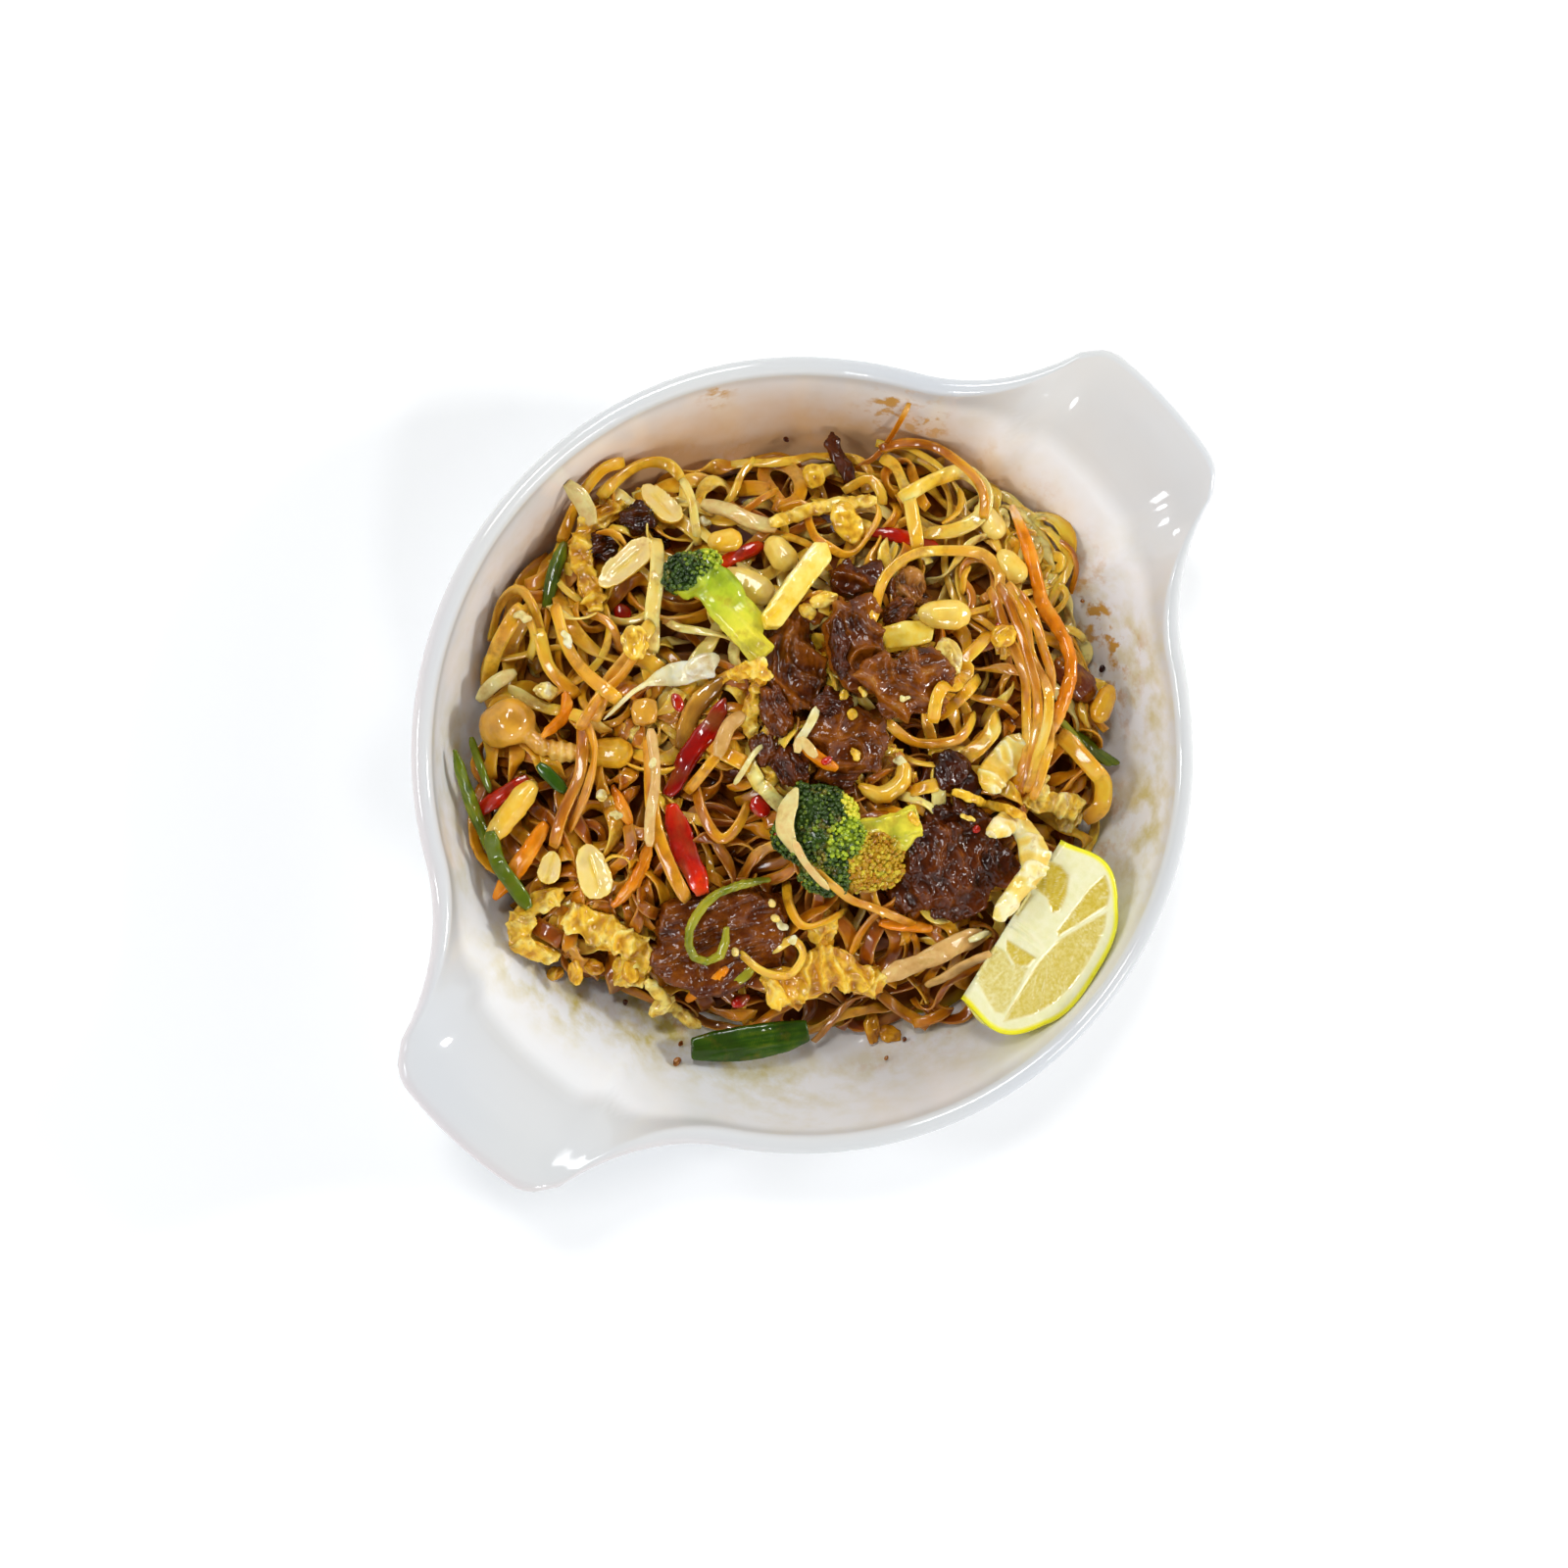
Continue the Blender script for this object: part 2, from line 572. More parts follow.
def survey(tree, start, way):
    """Height of the first surface met above every cell, nan where there is none."""
    heights = np.full((CELLS, CELLS), np.nan)
    aim = Vector((0.0, 0.0, way))
    for column in range(CELLS):
        x = column * CELL - HALF
        for row in range(CELLS):
            y = row * CELL - HALF
            if x * x + y * y < BODY_RADIUS ** 2:
                spot = tree.ray_cast(Vector((x, y, start)), aim)[0]
                if spot:
                    heights[column, row] = spot.z
    return heights


def cell_of(places):
    """Column and row of places in the dish's frame."""
    return np.clip(np.rint((places + HALF) / CELL).astype(int), 0, CELLS - 1)


def smooth_run(values, reach):
    """Moving average along a run, keeping its ends."""
    padded = np.pad(values, reach, mode="edge")
    kernel = np.ones(2 * reach + 1) / (2 * reach + 1)
    return np.convolve(padded, kernel, mode="valid")


def highest_run(values, reach):
    """Moving maximum along a run."""
    padded = np.pad(values, reach, mode="edge")
    return np.max([padded[step:step + len(values)] for step in range(2 * reach + 1)], axis=0)


FROM_ABOVE, FROM_BELOW = (200.0, -1.0), (2.0, 1.0)
BED = np.nan_to_num(survey(tree_of(["dish"]), *FROM_ABOVE), nan=60.0)
HEAP = survey(tree_of(["noodle_heap"]), *FROM_ABOVE)
# The long carrot shred lies on top of all, so nothing is laid over it.
OVER = survey(tree_of([name for name in TOPPINGS if name != "carrot_1"]), *FROM_ABOVE)
UNDER = survey(tree_of(TOPPINGS), *FROM_BELOW)
IN_HEAP = ~np.isnan(HEAP)
SECTOR, SECTORS = 5.0, 72


def heap_edge():
    """Reach of the heap by bearing in the dish's frame, in steps of a sector."""
    columns, rows = np.nonzero(IN_HEAP)
    x, y = columns * CELL - HALF, rows * CELL - HALF
    sector = ((np.degrees(np.arctan2(y, x)) % 360.0) / SECTOR).astype(int) % SECTORS
    reach = np.zeros(SECTORS)
    np.maximum.at(reach, sector, np.hypot(x, y))
    return reach


EDGE = heap_edge()


def edge_at(bearing):
    """Reach of the heap at a bearing in radians in the dish's frame."""
    return EDGE[int(math.degrees(bearing) % 360.0 / SECTOR) % SECTORS]


# ---- noodles ----------------------------------------------------------------
STRIDE = 1.3  # from one ring of a noodle to the next
PROFILE = ((1.0, 0.0), (0.9, 0.78), (0.42, 1.0), (-0.42, 1.0), (-0.9, 0.78), (-1.0, 0.0),
           (-0.9, -0.78), (-0.42, -1.0), (0.42, -1.0), (0.9, -0.78))
HEAP_DEPTH = 9.5  # how far down the noodles are laid one by one
TUBE_LIMIT = 185000  # triangles after which the loose noodles go on in a further piece
DROPS, QUICK_DROPS = 1500, 200  # how often a noodle is tried
SEEN_DEPTH, SHORTEST = 0.6, 7  # how deep a noodle still shows, and steps it must exceed
CORE_WIDTH = 0.965


class Strand:
    """A flat noodle: its plan route, heights, lean and size along it."""

    def __init__(self, path, wide, thick, lean, tone):
        self.path = path
        self.wide = wide * np.ones(len(path))
        self.thick = thick
        self.lean = lean
        self.tone = tone
        self.heights = None
        self.depth = None

    def half_height(self):
        """Half the noodle's upright extent at each step, with its lean."""
        return np.hypot(self.wide / 2 * np.sin(self.lean), self.thick / 2 * np.cos(self.lean))

    def half_width(self):
        """Half its extent to the sides, with its lean."""
        return np.hypot(self.wide / 2 * np.cos(self.lean), self.thick / 2 * np.sin(self.lean))

    def sides(self):
        """The level direction across the route at each step."""
        way = np.gradient(self.path, axis=0)
        way /= np.linalg.norm(way, axis=1)[:, None] + 1e-9
        return np.stack([-way[:, 1], way[:, 0]], axis=1)

    def footprint(self, samples):
        """The cells under it: for each step, some samples from side to side."""
        offsets = np.linspace(-1.0, 1.0, samples)[None, :, None]
        side = self.sides()[:, None, :] * self.half_width()[:, None, None]
        return cell_of(self.path[:, None, :] + side * offsets)


class Tangle:
    """Noodles dropped one after another onto a map of what already lies there."""

    def __init__(self):
        """level is what lies there already, goal is how high the heap should be."""
        core = np.where(IN_HEAP, HEAP - HEAP_DEPTH, 0.0)
        self.level = np.maximum(BED + 0.3, core)
        lumps = np.zeros((CELLS, CELLS))
        for column in range(CELLS):
            for row in range(CELLS):
                if IN_HEAP[column, row]:
                    spot = Vector((column, row, 0.0)) * CELL
                    small, broad = noise.noise(spot / 11.0), noise.noise(spot / 26.0)
                    lumps[column, row] = small * 2.2 + broad * 2.0
        self.goal = np.where(IN_HEAP, HEAP + 0.6 + lumps, 0.0)
        self.goal = np.where(np.isnan(UNDER), self.goal, np.minimum(self.goal, UNDER - 0.4))
        self.strands = []

    def drop(self, strand, ceiling=True):
        """Rests a strand on the level; a ceiling keeps it under the toppings."""
        cells = strand.footprint(5)
        beds = self.level[cells[..., 0], cells[..., 1]]
        slope = np.arctan2(beds[:, -1] - beds[:, 0], 2.0 * strand.half_width() + 0.5)
        strand.lean = strand.lean + 0.7 * smooth_run(np.clip(slope, -0.6, 0.6), 3)
        rest = beds.max(axis=1) + strand.half_height()
        heights = smooth_run(highest_run(rest, 2), 3)
        heights = smooth_run(np.maximum(heights, rest - 0.5), 2)
        if ceiling:
            roof = UNDER[cells[..., 0], cells[..., 1]]
            roof = np.min(np.where(np.isnan(roof), 99.0, roof), axis=1)
            limit = roof - strand.half_height() - 0.2
            low = np.minimum(heights, limit)
            heights = np.minimum(heights, smooth_run(low, 3) + 0.6)
            heights = np.minimum(heights, limit)
        strand.heights = heights

    def stamp(self, strand):
        """Adds a strand to the level, at its steps and halfway between them."""
        cells = strand.footprint(9)
        tops = np.repeat((strand.heights + strand.half_height())[:, None], 9, axis=1)
        for _ in range(2):
            np.maximum.at(self.level, (cells[..., 0], cells[..., 1]), tops)
            cells = (cells + np.roll(cells, -1, axis=0)) // 2
            cells[-1] = cells[-2]
        self.strands.append(strand)

    def emptiest(self, rng, tries=40):
        """A place where the heap most needs another noodle."""
        columns, rows = np.nonzero(IN_HEAP)
        picks = [rng.randrange(len(columns)) for _ in range(tries)]
        best = max(picks, key=lambda pick: (self.goal - self.level)[columns[pick], rows[pick]])
        return np.array((columns[best], rows[best])) * CELL - HALF


LOOP_SHARE, LOOP_RUN = 0.65, 26.0  # how many noodles make a loop, and its length
SHY = 9.0  # how near the heap's edge a noodle turns away


def wander(rng, start, heading, length, curl):
    """A curling plan route that stays within the heap, often with one loop."""
    phase = rng.uniform(0.0, 900.0)
    loop_from = rng.uniform(0.1, 0.7) * length if rng.random() < LOOP_SHARE else length * 2
    loop_way = rng.choice((-1, 1)) / rng.uniform(4.5, 10.0)
    spot = np.array(start, float)
    points = []
    for step in range(int(length / STRIDE)):
        run = step * STRIDE
        bend = curl * noise.noise(Vector((run / 16.0, phase, 0.0)))
        bend += 0.9 * curl * noise.noise(Vector((run / 6.0, phase, 9.0)))
        if loop_from < run < loop_from + LOOP_RUN:
            bend = loop_way
        reach = math.hypot(*spot)
        bearing = math.atan2(spot[1], spot[0])
        room = edge_at(bearing) - 1.5 - reach
        if room < SHY:
            off = (heading - bearing + math.pi) % (2 * math.pi) - math.pi
            if abs(off) < math.pi / 2:
                bend += math.copysign(0.16 * (1.0 - max(room, 0.0) / SHY), off or 1.0)
            if room < -1.0 and abs(off) < 1.1:
                break
        heading += bend * STRIDE
        spot = spot + STRIDE * np.array((math.cos(heading), math.sin(heading)))
        points.append(spot)
    return np.array(points)


def sway(rng, count, size, swing):
    """Slow random swing along a noodle, as of its lean or to its sides."""
    phase = rng.uniform(0.0, 900.0)
    lean = [noise.noise(Vector((step * STRIDE / size, phase, 3.0))) for step in range(count)]
    return np.array(lean) * swing


def sunk_ends(count, deep):
    """How far a noodle's ends dip below its resting height."""
    steps = np.arange(count)
    near = np.minimum(steps, steps[::-1]) * STRIDE
    return deep * np.clip(1.0 - near / 6.0, 0.0, 1.0) ** 2


def pile_noodles(rng, tangle, tries):
    """Drops noodles, alone or side by side, where the heap most needs them."""
    for _ in range(tries):
        start = tangle.emptiest(rng)
        path = wander(rng, start, rng.uniform(0, 2 * math.pi), rng.uniform(35, 120), 0.26)
        if len(path) < 14:
            continue
        group = rng.choice((1, 1, 2, 3))
        wide = rng.uniform(3.0, 4.6) if rng.random() < 0.7 else rng.uniform(1.9, 2.8)
        tone = rng.uniform(0.8, 1.0) if rng.random() < 0.2 else rng.uniform(0.15, 0.75)
        x, y = plan(start)
        # Paler at the far side and at the right, darker near the diner.
        tone += (0.12 * smoothstep(y, 25.0, 55.0)
                 - 0.30 * smoothstep(-y, -8.0, 15.0) * smoothstep(60.0 - x, 0.0, 20.0))
        tone += 0.16 * smoothstep(x, 25.0, 45.0) * smoothstep(y, -15.0, 10.0)
        for lane in range(group):
            first = rng.randrange(0, max(1, len(path) // 6))
            own = path[first:len(path) - rng.randrange(0, max(1, len(path) // 6))]
            strand = Strand(own, wide * rng.uniform(0.9, 1.1), rng.uniform(0.6, 0.9),
                            sway(rng, len(own), 12.0, 2.5),
                            min(1.0, max(0.0, tone + rng.uniform(-0.12, 0.12))))
            drift = sway(rng, len(own), 20.0, 4.0) + lane * wide * 0.95
            strand.path = own + strand.sides() * drift[:, None]
            tangle.drop(strand)
            strand.heights = strand.heights - sunk_ends(len(own), 1.6)
            cells = cell_of(strand.path)
            excess = strand.heights - tangle.goal[cells[:, 0], cells[:, 1]]
            if (excess < 1.6).mean() >= 0.7:
                tangle.stamp(strand)


def tube(strand, number):
    """A closed flat tube along a strand."""
    bm = bmesh.new()
    layers = {label: layer(bm, label) for label in ("tone", "depth", "rim")}
    run_layer = bm.verts.layers.float_vector.new("run")
    sides, count = len(PROFILE), len(strand.path)
    line = np.column_stack([strand.path, strand.heights])
    way = np.gradient(line, axis=0)
    way /= np.linalg.norm(way, axis=1)[:, None] + 1e-9
    side = np.column_stack([-way[:, 1], way[:, 0], np.zeros(count)])
    side /= np.linalg.norm(side, axis=1)[:, None] + 1e-9
    up = np.cross(way, side)
    cosine, sine = np.cos(strand.lean)[:, None], np.sin(strand.lean)[:, None]
    across, rise = side * cosine + up * sine, up * cosine - side * sine
    grid = bmesh.ops.create_grid(bm, x_segments=count - 1, y_segments=sides, size=1.0)["verts"]
    for lane in range(sides + 1):
        wide, thick = PROFILE[lane % sides]
        ring = (line + across * (strand.wide / 2 * wide)[:, None]
                + rise * (strand.thick / 2 * thick))
        for step, corner in enumerate(grid[lane * count:(lane + 1) * count]):
            corner.co = ring[step]
            corner[layers["tone"]] = strand.tone
            corner[layers["depth"]] = strand.depth[step]
            corner[layers["rim"]] = abs(wide)
            corner[run_layer] = (step * STRIDE / 26.0, number * 0.37, lane % sides / sides * 1.6)
    ends = [[grid[lane * count + end] for lane in range(sides)] for end in (0, count - 1)]
    seam = {grid[sides * count + step]: grid[step] for step in range(count)}
    bmesh.ops.weld_verts(bm, targetmap=seam)
    for ring in ends:
        bmesh.ops.contextual_create(bm, geom=ring)
    bmesh.ops.recalc_face_normals(bm, faces=bm.faces[:])
    return bm


def gather(parts):
    """Several bmeshes in one."""
    total = bmesh.new()
    for part in parts:
        mesh = bpy.data.meshes.new("part")
        part.to_mesh(mesh)
        part.free()
        total.from_mesh(mesh)
        bpy.data.meshes.remove(mesh)
    return total


def seen_stretches(strand, level):
    """The stretches of a strand that show, with how deep each place lies."""
    cells = strand.footprint(5)
    cover = level[cells[..., 0], cells[..., 1]] - (strand.heights + strand.half_height())[:, None]
    show = smooth_run((cover.min(axis=1) < SEEN_DEPTH).astype(float), 3) > 0.0
    deep = smooth_run(np.clip(cover.mean(axis=1), 0.0, 9.0), 2)
    found, first = [], None
    for step in range(len(show) + 1):
        on = step < len(show) and show[step]
        if on and first is None:
            first = step
        if not on and first is not None:
            if step - first > SHORTEST:
                piece = Strand(strand.path[first:step], strand.wide[first:step], strand.thick,
                               strand.lean[first:step], strand.tone)
                piece.heights = strand.heights[first:step]
                piece.depth = deep[first:step]
                found.append(piece)
            first = None
    return found


def noodle_look():
    """Amber rice noodle, drawn lengthwise, dark and dry where it lies deep."""
    made = Look("rice_noodle", rough=0.32, coat=0.8, coat_rough=0.12, glow=0.4, shine=0.05)
    run = made.attribute("run", "Vector")
    streaks = made.tree.nodes.new("ShaderNodeTexNoise")
    streaks.inputs["Scale"].default_value = 3.0
    streaks.inputs["Detail"].default_value = 4.0
    made.join(streaks.inputs["Vector"], run)
    lengthwise = made.spread(streaks.outputs["Fac"], 0.3, 0.7, -0.17, 0.17)
    shade = made.sum("ADD", made.attribute("tone"), lengthwise)
    shade = made.sum("ADD", shade, made.clouds(26.0, 0.3, 0.7, -0.24, 0.18, 1.0))
    colour = made.ramp(shade, (0.0, (0.28, 0.06, 0.001)), (0.22, (0.56, 0.18, 0.002)),
                       (0.5, (0.80, 0.38, 0.010)), (0.75, (0.90, 0.58, 0.05)),
                       (1.0, (0.95, 0.80, 0.28)))
    beige = made.clouds(16.0, 0.54, 0.70, 0.0, 0.35, 1.0)
    colour = made.blend(beige, colour, (0.72, 0.46, 0.12))
    edge = made.spread(made.attribute("rim"), 0.55, 1.0, 0.0, 0.22)
    colour = made.blend(edge, colour, (0.86, 0.55, 0.10))
    film = made.group(SAUCE_FILM, colour=colour, sauce=(0.32, 0.11, 0.004), amount=0.06,
                      scale=190.0)
    deep = made.spread(made.attribute("depth"), 0.2, 5.0, 0.0, 0.92)
    colour = made.blend(deep, film["Colour"], (0.21, 0.045, 0.001))
    wet = made.spread(made.attribute("depth"), 0.0, 3.0, 0.85, 0.15)
    made.join(made.shader.inputs["Coat Weight"], wet)
    made.bump(streaks.outputs["Fac"], strength=0.25, depth=0.2)
    return made.finish(colour, made.spread(film["Wet"], 0.0, 1.0, 0.34, 0.18))


def build_core(look):
    """The heap's dark inside, just under the noodles that show."""
    bm = solid_of("noodle_heap")
    layers = {label: layer(bm, label) for label in ("tone", "depth", "rim")}
    for corner in bm.verts:
        bed = BED[tuple(cell_of(np.array(corner.co[:2])))]
        corner.co.x *= CORE_WIDTH
        corner.co.y *= CORE_WIDTH
        corner.co.z = max(min(bed + 0.35, corner.co.z), corner.co.z - HEAP_DEPTH + 1.0)
        corner[layers["tone"]], corner[layers["depth"]] = 0.3, 4.5
    settle(bm, "noodle_core", look, ["noodle_heap"])


def build_noodles(look):
    """The loose noodles, as the stretches of them that show, and the tangle they form."""
    rng = random.Random(7)
    tangle = Tangle()
    pile_noodles(rng, tangle, DROPS)
    level = np.maximum(tangle.level, 0.0)
    shown = [piece for strand in tangle.strands for piece in seen_stretches(strand, level)]
    lot, lots, size = [], 0, 0
    for number, piece in enumerate(shown):
        lot.append(tube(piece, number))
        size += len(piece.path) * len(PROFILE) * 2
        if size > TUBE_LIMIT or number == len(shown) - 1:
            lots += 1
            settle(gather(lot), f"noodles_{lots}", look)
            lot, size = [], 0
    return tangle


# ---- toppings ---------------------------------------------------------------
def ways_of(bm):
    """Middle of a shape and its own directions, the longest first."""
    spots = np.array([corner.co[:] for corner in bm.verts])
    middle = spots.mean(axis=0)
    ways = np.linalg.eigh(np.cov((spots - middle).T))[1].T[::-1]
    return Vector(middle), [Vector(way) for way in ways]


class Skin:
    """How a food is roughened: broad lumps, drawn-out fibres and fine grain.

    Each is (size, height) in mm. Fibres are long times as long as wide, and run at a turn in
    radians to the food's longest way.
    """

    def __init__(self, lumps, grain, fibres=(1.0, 0.0), turn=0.0, long=6.0):
        self.lumps, self.fibres, self.grain = lumps, fibres, grain
        self.turn, self.long = turn, long

    def roughen(self, bm, seed, tone, paint=None):
        """Pushes the skin in and out and leaves tone and relief on its corners.

        paint(corner, local, ways, lump) gives a further change of tone and a further push.
        """
        tones, reliefs = layer(bm, "tone"), layer(bm, "relief")
        middle, ways = ways_of(bm)
        first, second, third = ways
        along = first * math.cos(self.turn) + second * math.sin(self.turn)
        across = second * math.cos(self.turn) - first * math.sin(self.turn)
        away = Vector((seed * 17.3, seed * 5.1, seed * 9.7))
        moves = []
        for corner in bm.verts:
            spot = corner.co + away
            local = corner.co - middle
            lump = noise.noise(spot / self.lumps[0])
            push = self.lumps[1] * lump
            if self.fibres[1]:
                place = Vector((local.dot(along) / self.long, local.dot(across),
                                local.dot(third) * 0.5))
                place += Vector((0.0, 0.6, 0.0)) * lump * 2.0
                thread = ridge(place / self.fibres[0] + away) - 0.55
                push += self.fibres[1] * thread
            push += self.grain[1] * noise.noise(spot / self.grain[0])
            change, lift = paint(corner, local, ways, lump) if paint else (0.0, 0.0)
            reach = self.lumps[1] + self.fibres[1] + 0.05
            corner[reliefs] = max(-1.0, min(1.0, push / reach * 1.4))
            corner[tones] = tone + change + 0.12 * lump
            moves.append(corner.normal * (push + lift))
        for corner, move in zip(bm.verts, moves):
            corner.co += move
        return bm


def numbered(stem, *numbers):
    """The nodes with a name and some numbers."""
    return [f"{stem}_{number}" for number in numbers]


def route(points, stride=STRIDE):
    """Even steps along a smooth curve through places on the diner's plan."""
    posts = np.array([seat(*point) for point in points])
    posts = np.vstack([2 * posts[0] - posts[1], posts, 2 * posts[-1] - posts[-2]])
    spots = []
    for number in range(len(posts) - 3):
        a, b, c, d = posts[number:number + 4]
        for part in np.linspace(0.0, 1.0, 20, endpoint=False):
            spots.append(b + 0.5 * part * (c - a + part * (2 * a - 5 * b + 4 * c - d
                                                           + part * (3 * (b - c) + d - a))))
    spots = np.array(spots + [posts[-2]])
    run = np.concatenate([[0.0], np.cumsum(np.linalg.norm(np.diff(spots, axis=0), axis=1))])
    even = np.linspace(0.0, run[-1], max(7, int(run[-1] / stride)))
    return np.column_stack([np.interp(even, run, spots[:, axis]) for axis in (0, 1)])


def lay(table, points, wide, thick, lean=0.0, tone=0.5, lift=0.0, taper=0.35, stride=STRIDE):
    """A strip laid over everything under it.

    It leans by some degrees, lift raises its middle, and taper is how wide its ends are.
    """
    path = route(points, stride)
    count = len(path)
    part = np.linspace(0.0, 1.0, count)
    phase = points[0][0] * 3.1 + points[0][1]
    wobble = np.array([noise.noise(Vector((step * stride / 13.0, phase, 5.0)))
                       for step in range(count)])
    strand = Strand(path, wide, thick, math.radians(lean) + 0.5 * wobble, tone)
    ends = np.minimum(taper + part * count * stride / wide,
                      taper + (1 - part) * count * stride / wide)
    strand.wide = wide * np.clip(ends, 0.05, 1.0) ** 0.6 * (1.0 + 0.12 * wobble)
    table.drop(strand, ceiling=False)
    strand.heights = strand.heights + lift * np.sin(math.pi * part)
    strand.depth = np.zeros(count)
    table.stamp(strand)
    return strand


def ball_at(spot, size, turn):
    """Makes a ball of radius 1 an egg shape with some half sizes, turned on the plan."""
    return (Matrix.Translation(spot) @ Matrix.Rotation(math.radians(turn) - TABLE_TURN, 4, "Z")
            @ Matrix.Diagonal((*size, 1.0)))


CRUMB = Skin(lumps=(2.2, 0.45), grain=(0.7, 0.12))


def nugget(table, place, size, turn=0.0, tone=0.5, skin=CRUMB, sink=0.35, detail=4, lift=0.0):
    """A small lump resting on what lies under it, sunk by a part of its half height."""
    bm = bmesh.new()
    bmesh.ops.create_icosphere(bm, subdivisions=detail, radius=1.0)
    x, y = seat(*place)
    column, row = cell_of(np.array((x, y)))
    base = table.level[column - 1:column + 2, row - 1:row + 2].max()
    move = ball_at((x, y, base + size[2] * (1.0 - sink) + lift), size, turn)
    bmesh.ops.transform(bm, matrix=move, verts=bm.verts[:])
    bm.normal_update()
    return skin.roughen(bm, place[0] + place[1] * 0.7, tone)


def solid_of(name):
    """A solid of the layout in mm, with its corners joined."""
    bm = bmesh.new()
    bm.from_mesh(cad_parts[name].data)
    bmesh.ops.scale(bm, vec=Vector((PER_METRE, PER_METRE, PER_METRE)), verts=bm.verts[:])
    bmesh.ops.remove_doubles(bm, verts=bm.verts[:], dist=0.001)
    return bm


def swollen(name, lumps):
    """A solid of the layout with further lumps on it: place, half sizes, turn and rise."""
    draft = solid_of(name)
    level = sum(corner.co.z for corner in draft.verts) / len(draft.verts)
    for place, size, turn, rise in lumps:
        move = ball_at((*seat(*place), level + rise), size, turn)
        bmesh.ops.create_icosphere(draft, subdivisions=3, radius=1.0, matrix=move)
    return draft


def even_out(draft, voxel, relax):
    """One even, softened skin round everything in a draft."""
    mesh = bpy.data.meshes.new("draft")
    draft.to_mesh(mesh)
    draft.free()
    holder = bpy.data.objects.new("draft", mesh)
    bpy.context.scene.collection.objects.link(holder)
    even = holder.modifiers.new("even", "REMESH")
    even.mode = "VOXEL"
    even.voxel_size = voxel
    done = holder.evaluated_get(bpy.context.evaluated_depsgraph_get())
    bm = bmesh.new()
    bm.from_mesh(done.to_mesh())
    done.to_mesh_clear()
    bpy.data.objects.remove(holder)
    bpy.data.meshes.remove(mesh)
    for _ in range(relax):
        bmesh.ops.smooth_vert(bm, verts=bm.verts[:], factor=0.5, use_axis_x=True, use_axis_y=True,
                              use_axis_z=True)
    bm.normal_update()
    return bm


def crests(place, size):
    """Soft folds with sharp crests, from about -0.4 to 0.6."""
    return ridge(place / size) ** 2 - 0.4


# Small shifts of some toppings along the diner's x: at their far end and at their near end.
SHIFTS = {"carrot_1": (-6.0, -2.0),
          "peanut_6": (-3.0, -3.0),
          "peanut_7": (-3.0, -3.0),
          "peanut_8": (-3.0, -3.0),
          "peanut_14": (-2.0, -2.0),
          "peanut_13": (-1.5, -1.5),
          "egg_6": (-2.0, -7.0),
          "egg_7": (-2.0, -2.0)}


def shift(bm, far, near):
    """Moves a topping along the diner's x, by one measure at each end."""
    rows = [plan(corner.co)[1] for corner in bm.verts]
    low, high = min(rows), max(rows)
    for corner, row in zip(bm.verts, rows):
        move = seat(mix(near, far, smoothstep(row, low, mix(low, high, 0.6))), 0.0)
        corner.co += Vector((*move, 0.0))


def simple_parts(skin, voxel, relax, tones, paint=None, lumps=None, raised=None):
    """The roughened solids of a kind.

    By name of the solid, tones gives its tone, lumps what is added to it, and raised its rise.
    paint is told that name, and then what Skin.roughen tells it.
    """
    coarse = 1.0
    parts = []
    for seed, (node, tone) in enumerate(tones.items()):
        bm = even_out(swollen(node, (lumps or {}).get(node, ())), voxel * coarse, relax)
        rise = (raised or {}).get(node, 0.0)
        bmesh.ops.translate(bm, verts=bm.verts[:], vec=Vector((0.0, 0.0, rise)))
        if node in SHIFTS:
            shift(bm, *SHIFTS[node])
        parts.append(skin.roughen(bm, seed + 1, tone, partial(paint, node) if paint else None))
    return parts


def paint_beef(node, corner, local, ways, lump):
    """Folds across the slice with small creases between them."""
    fold = crests(corner.co + Vector((3.0, 9.0, 0.0)), 8.0)
    small = crests(corner.co, 3.2)
    if node == "beef_7":
        return 0.06 * small, 0.2 * small + 0.3 * fold
    if node == "beef_6":
        return 0.18 * fold + 0.15 * small, 1.6 * fold + 0.6 * small
    return 0.24 * fold + 0.08 * small, 2.1 * fold + 0.22 * small


def paint_dark_slice(node, corner, local, ways, lump):
    """Curled edges."""
    return 0.15 * crests(corner.co, 4.0), 1.0 * crests(corner.co, 5.0)


